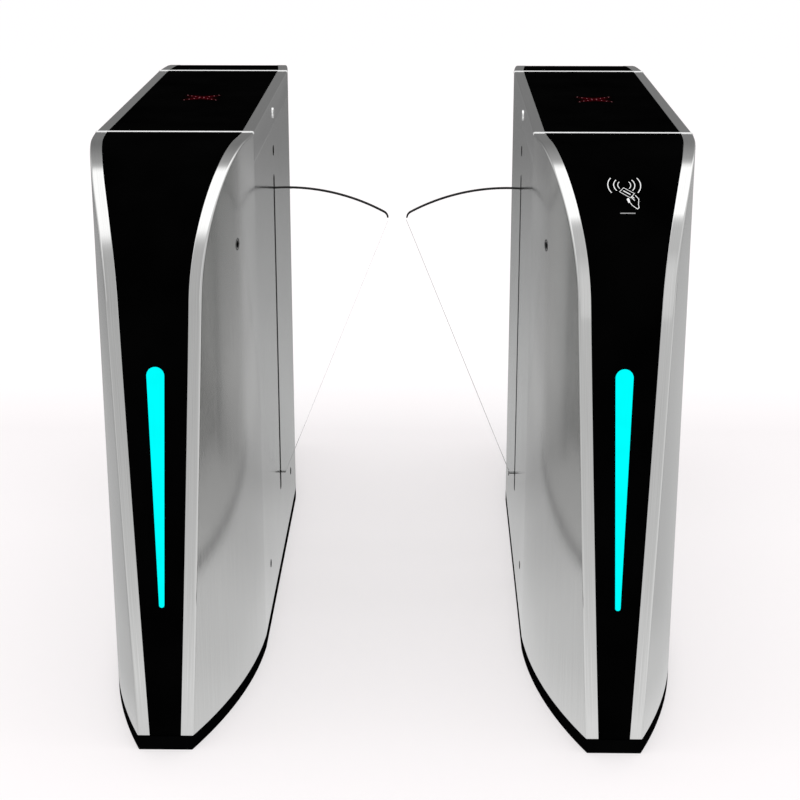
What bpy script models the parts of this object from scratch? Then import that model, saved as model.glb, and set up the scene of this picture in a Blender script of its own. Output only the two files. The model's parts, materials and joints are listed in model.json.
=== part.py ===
"""Flap gate for one walking lane: two slim cabinets, each with a clear fan-shaped wing.

The origin is the middle of the lane, on the floor. +X points right, +Y along the walking
direction and +Z up. Lengths are in metres. One cabinet is modelled about its own middle with
its lane side towards +X, and stands twice, the second one turned by half a turn.
"""

import math

import bmesh
import bpy
from mathutils import Matrix, Vector

# Gate
LANE_WIDTH = 0.493
CABINET_HEIGHT = 1.000
CABINET_WIDTH = 0.279
CABINET_LENGTH = 1.580

# Fits
FIT_GAP = 0.0003
SEAM_GAP = 0.0010
OVERRUN = 0.012

# Outline of the cabinet, seen from above and from the side
BEND_LEAD = 0.0045
BEND_FOLD = math.radians(2.7)
NOSE_WIDTH = 0.092
TOP_RADIUS = 0.250
FACE_LEAN = math.radians(6.1)
PLAN_STEPS = 7
FLAT_STEPS = 2
ARC_STEPS = 9
FACE_STEPS = 3

# Plinth
PLINTH_HEIGHT = 0.025
PLINTH_WALL = 0.0015
PLINTH_FLOOR = 0.003
CABLE_HOLE_RADIUS = 0.025
CABLE_HOLE_MARGIN = 0.095
ANCHOR_X = 0.085
ANCHOR_MARGIN = 0.055
WASHER_RADIUS = 0.013
WASHER_HEIGHT = 0.0025
ANCHOR_HEAD_RADIUS = 0.0092
ANCHOR_HEAD_HEIGHT = 0.007

# Side panels
PANEL_THICKNESS = 0.0015
SLOT_FOOT = 0.178
SLOT_TOP_DROP = 0.098
SLOT_WIDTH = 0.016
SENSOR_RADIUS = 0.010
LOW_SENSOR_RADIUS = 0.008
SENSOR_LENGTH = 0.034
SENSOR_RECESS = 0.0005
SENSOR_NUT_RIM = 0.005
SENSOR_NUT_HEIGHT = 0.006
SLOT_SENSOR_RISE = 0.050
LOW_SENSOR_HEIGHT = 0.1185
LOW_SENSOR_Y = 0.260
END_SENSOR_DROP = 0.166
END_SENSOR_INSET = 0.250

# End frames and fascias
TOP_LEAD = 0.0729
TRIM_WIDTH = 0.0205
TRIM_EDGE = 0.0035
TRIM_CORNER = 0.0030
SEAM_LIP = 0.0035
FASCIA_THICKNESS = 0.005
BACKPLATE_THICKNESS = 0.0017
LIGHT_TOP_DROP = 0.331
LIGHT_FOOT = 0.255
LIGHT_TOP_RADIUS = 0.0148
LIGHT_FOOT_RADIUS = 0.0045
READER_ANGLE = math.radians(50.0)
READER_LENGTH = 0.066
READER_WIDTH = 0.078
READER_DEPTH = 0.018
READER_FLANGE = 0.008
READER_FLANGE_THICKNESS = 0.003

# Lid
SKIRT_DROP = 0.0555
LID_LEDGE = 0.014
LID_GLASS_THICKNESS = 0.005
INDICATOR_SIZE = 0.090
INDICATOR_DEPTH = 0.013
INDICATOR_STEP = 0.004
KNUCKLE_RADIUS = 0.0035
HINGE_PIN_RADIUS = 0.0014
KNUCKLE_LENGTH = 0.020
HINGE_MARGIN = 0.1345
LOCK_Y = 0.010
LOCK_RISE = 0.0255
LOCK_RADIUS = 0.0095
LOCK_BEZEL_RADIUS = 0.0110
LOCK_BEZEL_THICKNESS = 0.0018
LOCK_DEPTH = 0.014
LOCK_NUT_RADIUS = 0.0130
LOCK_NUT_THICKNESS = 0.003
PLUG_RADIUS = 0.0060
KEYWAY_WIDTH = 0.0014
KEYWAY_HEIGHT = 0.0080
CAM_THICKNESS = 0.002
CAM_WIDTH = 0.009
CAM_LENGTH = 0.019

# Chassis
POST_WIDTH = 0.025
POST_THICKNESS = 0.003
POST_MARGIN = 0.0405
POST_TOP_DROP = 0.0145
RAIL_HEIGHT = 0.018
RAIL_THICKNESS = 0.004
RAIL_BITE = 0.001
BOARD_RAIL_HEIGHTS = (0.520, 0.680)
CATCH_REACH = 0.026
CATCH_WIDTH = 0.009
CATCH_CLEARANCE = 0.004

# Wing, its places measured from the cabinet's lane side and from the floor
WING_THICKNESS = 0.010
WING_ARC_RADIUS = 0.407
WING_ARC_REACH = 0.027
WING_TOP_ROOM = 0.0229
WING_TIP_GAP = 0.0135
WING_TIP_RADIUS = 0.010
WING_FOOT_REACH = 0.0115
WING_FOOT_HEIGHT = 0.217
WING_INNER_TOP = 0.020
WING_INNER_FOOT = 0.058
WING_EDGE = 0.0028
WING_FOOT_EDGE = 0.002
WING_ARC_STEPS = 10
WING_TIP_STEPS = 3

# Drive
PIVOT_INSET = 0.085
PIVOT_HEIGHT = 0.100
WING_TRAVEL = math.radians(19.0)
SHAFT_RADIUS = 0.010
SHAFT_COLLAR_RADIUS = 0.015
SHAFT_COLLAR_LENGTH = 0.006
HUB_RADIUS = 0.028
HUB_LENGTH = 0.031
CLAMP_PLATE = 0.003
ARM_TOP_RADIUS = 0.029
ARM_TOP_INSET = 0.036
ARM_TOP_HEIGHT = 0.360
BOLT_RADIUS = 0.004
BOLT_HEAD_RADIUS = 0.0075
BOLT_HEAD_HEIGHT = 0.004
BOLT_MARGIN = 0.014
BOLT_FOOT = 0.040
BOLT_PITCH = 0.044
BOLT_COUNT = 4
LUG_LENGTH = 0.050
LUG_WIDTH = 0.012
BUMPER_RADIUS = 0.008
BUMPER_DROP = 0.045
BUMPER_LENGTH = 0.012
EAR_THICKNESS = 0.008
EAR_WIDTH = 0.020
GEAR_MODULE = 0.0025
ROOT_SHARE = 1.25
WINDOW_SHARES = (0.25, 0.75)
SECTOR_TEETH = 48
SECTOR_FIRST = -2
SECTOR_LAST = 5
PINION_TEETH = 16
GEAR_THICKNESS = 0.010
GEAR_BACKLASH = 0.0004
PRESSURE_ANGLE = math.radians(20.0)
SECTOR_HUB_RADIUS = 0.024
SECTOR_BOSS_RADIUS = 0.018
SECTOR_BOSS_LENGTH = 0.011
SECTOR_WINDOW_RADIUS = 0.007
UPRIGHT_Y = 0.044
UPRIGHT_THICKNESS = 0.006
UPRIGHT_TOP = 0.145
BRACKET_BASE = 0.006
BRACKET_MARGIN = 0.042
BEARING_RADIUS = 0.022
BEARING_FLANGE_RADIUS = 0.029
BEARING_FLANGE = 0.004
BEARING_OVERHANG = 0.002
MOTOR_SHAFT_RADIUS = 0.006
MOTOR_SHAFT_SOCKET = 0.014
MOTOR_SHAFT_ROOM = 0.003
GEARBOX_RADIUS = 0.031
GEARBOX_LENGTH = 0.042
MOTOR_RADIUS = 0.027
MOTOR_LENGTH = 0.078
MOTOR_CAP_RADIUS = 0.019
MOTOR_CAP_LENGTH = 0.012
JOINT_BITE = 0.001
NUT_BITE = 0.0005

# Electrical boxes
SUPPLY_SIZE = (0.098, 0.200, 0.042)
SUPPLY_GAP = 0.020
SUPPLY_TERMINALS = (0.080, 0.012, 0.018)
BOARD_SIZE = (0.0016, 0.170, 0.200)
BOARD_STANDOFF = 0.010
BOARD_STANDOFF_RADIUS = 0.004
BOARD_EDGE = 0.010
RELAY_SIZE = (0.016, 0.020, 0.028)
RELAY_PITCH = 0.032
RELAY_COUNT = 4
CONNECTOR_SIZE = (0.012, 0.120, 0.010)

# Smoothness of round pieces
ROUND_SIDES = 14
SMALL_SIDES = 8
HEXAGON_SIDES = 6
SLOT_END_STEPS = 5
CORNER_STEPS = 1
FLANK_STEPS = 2
BUMPER_STEPS = 3
SHARP_ANGLE = math.radians(35.0)

# Places that follow from the sizes
HALF_WIDTH = CABINET_WIDTH / 2
HALF_LENGTH = CABINET_LENGTH / 2
NOSE_HALF = NOSE_WIDTH / 2
CABINET_X = (LANE_WIDTH + CABINET_WIDTH) / 2
ARC_Z = CABINET_HEIGHT - TOP_RADIUS
ARC_SAG = TOP_RADIUS * (1 - math.cos((math.pi / 2 - FACE_LEAN) / ARC_STEPS / 2))
ARC_Y = HALF_LENGTH - ARC_Z * math.tan(FACE_LEAN) - TOP_RADIUS / math.cos(FACE_LEAN)
SEAM_Y = ARC_Y - TOP_LEAD
BEND_START = SEAM_Y + BEND_LEAD
BEND_CHORD = Vector((HALF_LENGTH - BEND_START, HALF_WIDTH - NOSE_HALF))
BEND_LEAN = math.atan2(BEND_CHORD.y, BEND_CHORD.x)
BEND_RADIUS = BEND_CHORD.length / (2 * math.sin(BEND_LEAN - BEND_FOLD))
LID_LENGTH = 2 * (SEAM_Y - SEAM_GAP)
PARTING_HEIGHT = CABINET_HEIGHT - SKIRT_DROP
SLOT_TOP = PARTING_HEIGHT - SLOT_TOP_DROP
WING_ARC_HEIGHT = SLOT_TOP - WING_TOP_ROOM - WING_ARC_RADIUS
LIGHT_TOP = CABINET_HEIGHT - LIGHT_TOP_DROP
LOCK_HEIGHT = PARTING_HEIGHT + LOCK_RISE
HINGE_Y = LID_LENGTH / 2 - HINGE_MARGIN
POST_Y = SEAM_Y - POST_MARGIN
POST_TOP = PARTING_HEIGHT - POST_TOP_DROP
ANCHOR_Y = POST_Y - ANCHOR_MARGIN
CABLE_HOLE_Y = POST_Y + CABLE_HOLE_MARGIN
PANEL_FOOT = PLINTH_HEIGHT + FIT_GAP
PANEL_TOP = PARTING_HEIGHT - SEAM_GAP / 2
SKIRT_FOOT = PARTING_HEIGHT + SEAM_GAP / 2
INNER_FACE = HALF_WIDTH - PANEL_THICKNESS
FASCIA_SEAT = FASCIA_THICKNESS + FIT_GAP
BACKPLATE_DEPTH = FASCIA_SEAT + BACKPLATE_THICKNESS
FLOOR_TOP = PLINTH_FLOOR + FIT_GAP
PIVOT_X = HALF_WIDTH - PIVOT_INSET
WING_REACH = LANE_WIDTH / 2 - WING_TIP_GAP
PITCH_RADIUS = GEAR_MODULE * SECTOR_TEETH / 2
PINION_PITCH_RADIUS = GEAR_MODULE * PINION_TEETH / 2
PINION_X = PIVOT_X - PITCH_RADIUS - PINION_PITCH_RADIUS
CLAMP_CHANNEL = WING_THICKNESS + 2 * FIT_GAP
CLAMP_WIDTH = CLAMP_CHANNEL + 2 * CLAMP_PLATE
GEAR_START = HUB_LENGTH / 2 + FIT_GAP + SECTOR_BOSS_LENGTH
GEAR_END = GEAR_START + GEAR_THICKNESS
UPRIGHT_BACK = UPRIGHT_Y + UPRIGHT_THICKNESS
SUPPLY_Y = -(POST_Y + SUPPLY_GAP + SUPPLY_SIZE[1] / 2)
BOARD_Y = -(UPRIGHT_BACK + POST_Y) / 2
CATCH_HEIGHT = LOCK_HEIGHT + CAM_WIDTH / 2 + CATCH_CLEARANCE


def clear_scene():
    for item in list(bpy.data.objects):
        bpy.data.objects.remove(item, do_unlink=True)


# Shapes


def finished(name, mesh_data):
    """A new object from a bmesh, with its faces pointing out."""
    bmesh.ops.recalc_face_normals(mesh_data, faces=mesh_data.faces)
    mesh = bpy.data.meshes.new(name)
    mesh_data.to_mesh(mesh)
    mesh_data.free()
    piece = bpy.data.objects.new(name, mesh)
    bpy.context.scene.collection.objects.link(piece)
    return piece


def prism(name, outline, axis, low, high):
    """An outline extruded along an axis. Its points are the other two coordinates in X, Y, Z order."""
    order = {"X": (2, 0, 1), "Y": (0, 2, 1), "Z": (0, 1, 2)}[axis]
    mesh_data = bmesh.new()
    ring = []
    for first, second in outline:
        values = (first, second, low)
        ring.append(mesh_data.verts.new([values[i] for i in order]))
    face = mesh_data.faces.new(ring)
    raised = bmesh.ops.extrude_face_region(mesh_data, geom=[face])["geom"]
    shift = Vector([(0, 0, high - low)[i] for i in order])
    moved = [item for item in raised if isinstance(item, bmesh.types.BMVert)]
    bmesh.ops.translate(mesh_data, verts=moved, vec=shift)
    return finished(name, mesh_data)


def box(name, low, high):
    """A block between two corners."""
    outline = [(low[0], low[1]), (high[0], low[1]), (high[0], high[1]), (low[0], high[1])]
    return prism(name, outline, "Z", low[2], high[2])


def block(name, centre, size):
    """A block about its centre."""
    low = [c - s / 2 for c, s in zip(centre, size)]
    high = [c + s / 2 for c, s in zip(centre, size)]
    return box(name, low, high)


def circle(centre, radius, first, last, steps):
    """Points on a circle from one angle to another, both ends included."""
    points = []
    for step in range(steps + 1):
        angle = first + (last - first) * step / steps
        points.append((centre[0] + radius * math.cos(angle), centre[1] + radius * math.sin(angle)))
    return points


def disc(centre, radius, sides):
    """A closed round outline."""
    return circle(centre, radius, 0, 2 * math.pi, sides)[:-1]


def rod(name, centre, radius, axis, low, high, sides=ROUND_SIDES):
    """A round bar along an axis."""
    return prism(name, disc(centre, radius, sides), axis, low, high)


def tapered_slot(foot, foot_radius, top, top_radius, steps):
    """The outline round two circles, one at each end of a line."""
    run = Vector(top) - Vector(foot)
    heading = math.atan2(run.y, run.x)
    spread = math.pi / 2 + math.asin((foot_radius - top_radius) / run.length)
    ends = circle(top, top_radius, heading - spread, heading + spread, steps)
    return ends + circle(foot, foot_radius, heading + spread, heading + 2 * math.pi - spread, steps)


def loft(name, loops):
    """A closed skin over loops of points, one after another, with a face at each end."""
    mesh_data = bmesh.new()
    rings = [[mesh_data.verts.new(point) for point in loop] for loop in loops]
    count = len(rings[0])
    for ring, following in zip(rings, rings[1:]):
        for i in range(count):
            j = (i + 1) % count
            mesh_data.faces.new((ring[i], ring[j], following[j], following[i]))
    mesh_data.faces.new(rings[0])
    mesh_data.faces.new(rings[-1])
    return finished(name, mesh_data)


def boolean(piece, tools, operation):
    """Applies a Boolean with each tool and removes the tools."""
    for tool in tools:
        tool.hide_render = True
        tool.display_type = "WIRE"
        modifier = piece.modifiers.new(tool.name, "BOOLEAN")
        modifier.operation = operation
        modifier.solver = "EXACT"
        modifier.object = tool
    bpy.context.view_layer.update()
    evaluated = piece.evaluated_get(bpy.context.evaluated_depsgraph_get())
    mesh = bpy.data.meshes.new_from_object(evaluated)
    piece.modifiers.clear()
    piece.data = mesh
    for tool in tools:
        bpy.data.objects.remove(tool, do_unlink=True)
    return piece


def cut(piece, *tools):
    return boolean(piece, tools, "DIFFERENCE")


def fuse(piece, *tools):
    return boolean(piece, tools, "UNION")


def transformed(piece, matrix):
    """Moves the piece's mesh, and keeps its faces pointing out under a mirror."""
    piece.data.transform(matrix)
    if matrix.determinant() < 0:
        piece.data.flip_normals()
    return piece


def mirrored_y(piece):
    return transformed(piece, Matrix.Scale(-1, 4, Vector((0, 1, 0))))


# The cabinet's outline


def side_lean(y):
    """The angle of the outline at a distance along the cabinet: none, then a fold and an arc."""
    past = abs(y) - BEND_START
    return math.asin(math.sin(BEND_FOLD) + past / BEND_RADIUS) if past > 0 else 0.0


def half_width(y):
    """Half the cabinet's width at a distance along it: straight in the middle, then an arc."""
    return HALF_WIDTH - BEND_RADIUS * (math.cos(BEND_FOLD) - math.cos(max(side_lean(y), BEND_FOLD)))


def side_normal(y):
    """The direction out of the lane side at a distance along the cabinet."""
    lean = math.copysign(side_lean(y), y)
    return Vector((math.cos(lean), math.sin(lean), 0))


def plan_places(end):
    """Distances along one half of the cabinet at which the outline turns."""
    return [BEND_START + (end - BEND_START) * step / PLAN_STEPS for step in range(PLAN_STEPS + 1)]


def plan_outline(end, inset):
    """The outline seen from above, drawn in by an inset on all sides."""
    places = plan_places(end - inset)
    lengths = [-y for y in reversed(places)] + places
    right = [(half_width(y) - inset, y) for y in lengths]
    left = [(-x, y) for x, y in reversed(right)]
    return right + left


def panel_strip(end, thickness):
    """The outline, seen from above, of a thin wall along the lane side."""
    places = plan_places(end)
    lengths = [-y for y in reversed(places)] + places
    outer = [(half_width(y), y) for y in lengths]
    inner = [(x - thickness, y) for x, y in reversed(outer)]
    return outer + inner


def face_y(z):
    """The distance of the leaning end face at a height."""
    return HALF_LENGTH - z * math.tan(FACE_LEAN)


def arc_stations(first, last, steps):
    """Places on the rounded top corner, each with the step inwards for one unit of depth."""
    found = []
    for step in range(steps + 1):
        angle = first + (last - first) * step / steps
        out = Vector((math.cos(angle), math.sin(angle)))
        found.append((Vector((ARC_Y, ARC_Z)) + out * TOP_RADIUS, -out))
    return found


def end_stations(start, foot):
    """Places from the seam on top, over the corner and down the face to a height."""
    found = []
    for step in range(FLAT_STEPS):
        y = start + (ARC_Y - start) * step / FLAT_STEPS
        found.append((Vector((y, CABINET_HEIGHT)), Vector((0, -1))))
    found += arc_stations(math.pi / 2, FACE_LEAN, ARC_STEPS)
    face_top = found[-1][0].y
    inward = found[-1][1]
    for step in range(1, FACE_STEPS):
        z = face_top + (foot - face_top) * step / FACE_STEPS
        found.append((Vector((face_y(z), z)), inward))
    found.append((Vector((face_y(foot), foot)), Vector((-1 / math.cos(FACE_LEAN), 0))))
    return found


def end_strip(name, stations, outline, edge=half_width):
    """A bar that follows the cabinet's end. Its section is a list of side, inset and depth."""
    loops = []
    for place, inward in stations:
        loop = []
        for side, inset, depth in outline:
            at = place + inward * depth
            loop.append((side * (edge(at.x) - inset), at.x, at.y))
        loops.append(loop)
    return loft(name, loops)


def flat_section(inset, top, bottom):
    """A plain section for end_strip, between two depths."""
    return [(1, inset, top), (-1, inset, top), (-1, inset, bottom), (1, inset, bottom)]


def side_outline(depth):
    """The cabinet seen from the side, drawn in by a depth, with the lid's place left out."""
    half = [(SEAM_Y, PANEL_TOP)]
    for place, inward in end_stations(SEAM_Y, PANEL_FOOT):
        at = place + inward * depth
        half.append((at.x, at.y))
    return half + [(-y, z) for y, z in reversed(half)]


# Plinth and panels


def base_tray():
    """Open tray with a rim and a cable hole, and the anchor bolts' washers and heads on its floor."""
    tray = prism("base_tray", plan_outline(HALF_LENGTH, 0), "Z", 0, PLINTH_HEIGHT)
    inside = plan_outline(HALF_LENGTH, PLINTH_WALL)
    hollow = prism("hollow", inside, "Z", PLINTH_FLOOR, PLINTH_HEIGHT + OVERRUN)
    hole = rod("cable", (0, CABLE_HOLE_Y), CABLE_HOLE_RADIUS, "Z", -OVERRUN, OVERRUN)
    cut(tray, hollow, hole)
    bolts = []
    washer_top = PLINTH_FLOOR + WASHER_HEIGHT
    head_top = washer_top + ANCHOR_HEAD_HEIGHT
    for place in [(x * ANCHOR_X, y * ANCHOR_Y) for x in (-1, 1) for y in (-1, 1)]:
        low = PLINTH_FLOOR - JOINT_BITE
        bolts.append(rod("washer", place, WASHER_RADIUS, "Z", low, washer_top, HEXAGON_SIDES))
        bolts.append(rod("head", place, ANCHOR_HEAD_RADIUS, "Z", low, head_top, HEXAGON_SIDES))
    return fuse(tray, *bolts)


def side_panel(name):
    """A bent sheet along the lane side, cut to the side outline under the trims."""
    strip = panel_strip(HALF_LENGTH, PANEL_THICKNESS)
    panel = prism(name, strip, "Z", PANEL_FOOT, CABINET_HEIGHT)
    outline = side_outline(TRIM_EDGE + FIT_GAP)
    frame = prism("outline", outline, "X", -OVERRUN, HALF_WIDTH + OVERRUN)
    return boolean(panel, [frame], "INTERSECT")


def sensor_places():
    """Distance along, height and radius of each sensor in the lane side."""
    places = [(0, SLOT_TOP + SLOT_SENSOR_RISE, SENSOR_RADIUS)]
    end = (HALF_LENGTH - END_SENSOR_INSET, CABINET_HEIGHT - END_SENSOR_DROP)
    for side in (-1, 1):
        places.append((side * LOW_SENSOR_Y, LOW_SENSOR_HEIGHT, LOW_SENSOR_RADIUS))
        places.append((side * end[0], end[1], SENSOR_RADIUS))
    return places


def sensor_rod(name, place, radius, low, high, sides=SMALL_SIDES):
    """A round bar square to the lane side, from one depth behind it to another."""
    y, z = place
    bar = rod(name, (0, 0), radius, "X", -high, -low, sides)
    out = side_normal(y)
    turn = Matrix.Rotation(math.atan2(out.y, out.x), 4, "Z")
    return transformed(bar, Matrix.Translation((half_width(y), y, z)) @ turn)


def inner_side_panel():
    """The lane side, with the wing's slot, and the sensors' barrels held by nuts behind their holes."""
    panel = side_panel("inner_side_panel")
    radius = SLOT_WIDTH / 2
    outline = tapered_slot((0, SLOT_FOOT + radius), radius, (0, SLOT_TOP - radius), radius, SLOT_END_STEPS)
    tools = [prism("slot", outline, "X", 0, HALF_WIDTH + OVERRUN)]
    for y, z, size in sensor_places():
        tools.append(sensor_rod("hole", (y, z), size + FIT_GAP, -OVERRUN, OVERRUN))
    cut(panel, *tools)
    sensors = []
    nut_low = PANEL_THICKNESS - NUT_BITE
    for y, z, size in sensor_places():
        sensors.append(sensor_rod("sensor", (y, z), size, SENSOR_RECESS, SENSOR_LENGTH))
        rim = size + SENSOR_NUT_RIM
        nut_high = nut_low + SENSOR_NUT_HEIGHT
        sensors.append(sensor_rod("nut", (y, z), rim, nut_low, nut_high, HEXAGON_SIDES))
    return fuse(panel, *sensors)


def hinge_knuckles():
    """Lengths of the fixed and of the moving knuckles, as pairs of ends along Y."""
    fixed, moving = [], []
    for middle in (-HINGE_Y, HINGE_Y):
        half = KNUCKLE_LENGTH / 2
        moving.append((middle - half, middle + half))
        for side in (-1, 1):
            near = middle + side * (half + FIT_GAP)
            far = near + side * KNUCKLE_LENGTH
            fixed.append((min(near, far), max(near, far)))
    return fixed, moving


def hinge_rods(name, radius, ends, extra=0):
    """Round bars on the lid's hinge axis."""
    rods = []
    for low, high in ends:
        centre = (-HALF_WIDTH, PARTING_HEIGHT)
        rods.append(rod(name, centre, radius, "Y", low - extra, high + extra, SMALL_SIDES))
    return rods


def outer_side_panel():
    """The side away from the lane, with the fixed hinge knuckles and their pins."""
    panel = transformed(side_panel("outer_side_panel"), Matrix.Scale(-1, 4, Vector((1, 0, 0))))
    fixed, moving = hinge_knuckles()
    room = KNUCKLE_RADIUS + SEAM_GAP / 2
    cut(panel, *hinge_rods("room", room, moving, FIT_GAP))
    pins = hinge_rods("pin", HINGE_PIN_RADIUS, moving, KNUCKLE_LENGTH / 2)
    return fuse(panel, *hinge_rods("knuckle", KNUCKLE_RADIUS, fixed), *pins)


# Ends


def frame_section():
    """Section of the end frame: trims with rounded corners, and the plate behind the fascia."""
    round_corner = circle((TRIM_CORNER, TRIM_CORNER), TRIM_CORNER, -math.pi / 2, -math.pi, CORNER_STEPS)
    half = [(inset, depth) for inset, depth in round_corner]
    shelf = PANEL_THICKNESS + 2 * FIT_GAP
    half += [(0, TRIM_EDGE), (shelf, TRIM_EDGE), (shelf, BACKPLATE_DEPTH)]
    right = [(1, inset, depth) for inset, depth in half]
    left = [(-1, inset, depth) for inset, depth in reversed(half)]
    return right + left


def end_frame(name):
    """Stainless frame of one end, with the recess that the fascia lies in."""
    frame = end_strip(name, end_stations(SEAM_Y, PANEL_FOOT), frame_section())
    recess = flat_section(TRIM_WIDTH, -OVERRUN, FASCIA_SEAT)
    start = SEAM_Y + SEAM_LIP
    return cut(frame, end_strip("recess", end_stations(start, PLINTH_HEIGHT - OVERRUN), recess))


def fascia(name):
    """Black panel of one end, with the light strip's window."""
    section = flat_section(TRIM_WIDTH + FIT_GAP, 0, FASCIA_THICKNESS)
    start = SEAM_Y + SEAM_LIP + FIT_GAP
    panel = end_strip(name, end_stations(start, PANEL_FOOT), section)
    return cut(panel, light_prism("window", FIT_GAP, -OVERRUN, FASCIA_THICKNESS + OVERRUN))


def light_prism(name, growth, top, bottom):
    """The light strip's tapered shape, from one depth behind the end face to another."""
    rise = (LIGHT_TOP - LIGHT_TOP_RADIUS - LIGHT_FOOT - LIGHT_FOOT_RADIUS) / math.cos(FACE_LEAN)
    foot_radius = LIGHT_FOOT_RADIUS + growth
    outline = tapered_slot((0, 0), foot_radius, (0, rise), LIGHT_TOP_RADIUS + growth, SLOT_END_STEPS)
    shape = prism(name, outline, "Z", -bottom, -top)
    foot = LIGHT_FOOT + LIGHT_FOOT_RADIUS
    turn = Matrix.Rotation(math.pi, 4, "Z") @ Matrix.Rotation(math.pi / 2 - FACE_LEAN, 4, "X")
    return transformed(shape, Matrix.Translation((0, face_y(foot), foot)) @ turn)


def light_strip(name):
    """Light guide that fills a fascia's window."""
    return light_prism(name, 0, 0, FASCIA_THICKNESS)


def reader_strip(name, growth, top, bottom):
    """A curved block at the card reader's place, between two depths behind the fascia."""
    spread = (READER_LENGTH / 2 + growth) / TOP_RADIUS
    stations = arc_stations(READER_ANGLE + spread, READER_ANGLE - spread, FLAT_STEPS * 2)
    return end_strip(name, stations, flat_section(-growth, top, bottom), lambda y: READER_WIDTH / 2)


def entry_end_frame():
    """The end frame at the entry, with the card reader's window."""
    window = reader_strip("window", FIT_GAP, -OVERRUN, BACKPLATE_DEPTH + OVERRUN)
    return cut(end_frame("entry_end_frame"), window)


def card_reader():
    """Reader head that touches the fascia through the frame's window, with a flange behind it."""
    head_top = FASCIA_SEAT + ARC_SAG
    flange_top = BACKPLATE_DEPTH + FIT_GAP + ARC_SAG
    head = reader_strip("card_reader", 0, head_top, head_top + READER_DEPTH)
    flange = reader_strip("flange", READER_FLANGE, flange_top, flange_top + READER_FLANGE_THICKNESS)
    return fuse(head, flange)


# Lid


def lid_frame():
    """Stainless top frame with its skirt, a ledge for the glass and the moving hinge knuckles."""
    half = LID_LENGTH / 2
    corner = TRIM_CORNER
    right = [(HALF_WIDTH, SKIRT_FOOT)]
    right += circle((HALF_WIDTH - corner, CABINET_HEIGHT - corner), corner, 0, math.pi / 2, CORNER_STEPS)
    outline = right + [(-x, z) for x, z in reversed(right)]
    frame = prism("lid_frame", outline, "Y", -half, half)
    glass_foot = CABINET_HEIGHT - LID_GLASS_THICKNESS - FIT_GAP
    ledge_foot = glass_foot - PANEL_THICKNESS
    trim = HALF_WIDTH - TRIM_WIDTH
    web = trim + PANEL_THICKNESS
    inside = box("inside", (-INNER_FACE, -half - OVERRUN, 0), (INNER_FACE, half + OVERRUN, ledge_foot))
    glass = box(
        "glass",
        (-trim, SEAM_LIP - half, glass_foot),
        (trim, half - SEAM_LIP, CABINET_HEIGHT + OVERRUN),
    )
    opening = (trim - LID_LEDGE, half - SEAM_LIP - LID_LEDGE)
    window = box(
        "window",
        (-opening[0], -opening[1], ledge_foot - OVERRUN),
        (opening[0], opening[1], glass_foot + OVERRUN),
    )
    reliefs = []
    relief_top = CABINET_HEIGHT - PANEL_THICKNESS
    relief_end = half - SEAM_LIP
    for side in (-1, 1):
        near, far = sorted((side * web, side * (INNER_FACE - corner)))
        low = (near, -relief_end, ledge_foot - OVERRUN)
        reliefs.append(box("relief", low, (far, relief_end, relief_top)))
    fixed, moving = hinge_knuckles()
    room = KNUCKLE_RADIUS + SEAM_GAP / 2
    hole = rod("hole", (LOCK_Y, LOCK_HEIGHT), LOCK_RADIUS + FIT_GAP, "X", 0, HALF_WIDTH + OVERRUN)
    cut(frame, inside, glass, window, hole, *reliefs, *hinge_rods("room", room, fixed, FIT_GAP))
    fuse(frame, *hinge_rods("knuckle", KNUCKLE_RADIUS, moving))
    bore = HINGE_PIN_RADIUS + FIT_GAP
    return cut(frame, *hinge_rods("bore", bore, moving, OVERRUN))


def lid_glass():
    """Black glass that lies in the lid frame's recess, flush with the trims."""
    x = HALF_WIDTH - TRIM_WIDTH - FIT_GAP
    y = LID_LENGTH / 2 - SEAM_LIP - FIT_GAP
    return box("lid_glass", (-x, -y, CABINET_HEIGHT - LID_GLASS_THICKNESS), (x, y, CABINET_HEIGHT))


def indicator_module():
    """Light module under the middle of the lid glass, with a smaller circuit housing below it."""
    top = CABINET_HEIGHT - LID_GLASS_THICKNESS - FIT_GAP
    half = INDICATOR_SIZE / 2
    module = box("indicator_module", (-half, -half, top - INDICATOR_DEPTH / 2), (half, half, top))
    inner = half - INDICATOR_STEP
    low = top - INDICATOR_DEPTH
    high = top - INDICATOR_DEPTH / 2 + JOINT_BITE
    return fuse(module, box("housing", (-inner, -inner, low), (inner, inner, high)))


def lock_rod(name, radius, low, high, sides=ROUND_SIDES):
    """A round bar on the lock's axis, from one distance before the skirt to another behind it."""
    return rod(name, (LOCK_Y, LOCK_HEIGHT), radius, "X", HALF_WIDTH - high, HALF_WIDTH - low, sides)


def lock_housing():
    """Threaded lock body with its bezel before the skirt and its nut behind it."""
    bezel_end = -FIT_GAP
    body = lock_rod("lock_housing", LOCK_RADIUS, -LOCK_BEZEL_THICKNESS, LOCK_DEPTH)
    bezel = lock_rod("bezel", LOCK_BEZEL_RADIUS, bezel_end - LOCK_BEZEL_THICKNESS, bezel_end)
    nut_start = PANEL_THICKNESS + FIT_GAP
    nut = lock_rod("nut", LOCK_NUT_RADIUS, nut_start, nut_start + LOCK_NUT_THICKNESS, HEXAGON_SIDES)
    bore = lock_rod("bore", PLUG_RADIUS + FIT_GAP, -OVERRUN, LOCK_DEPTH + OVERRUN)
    return cut(fuse(body, bezel, nut), bore)


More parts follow.
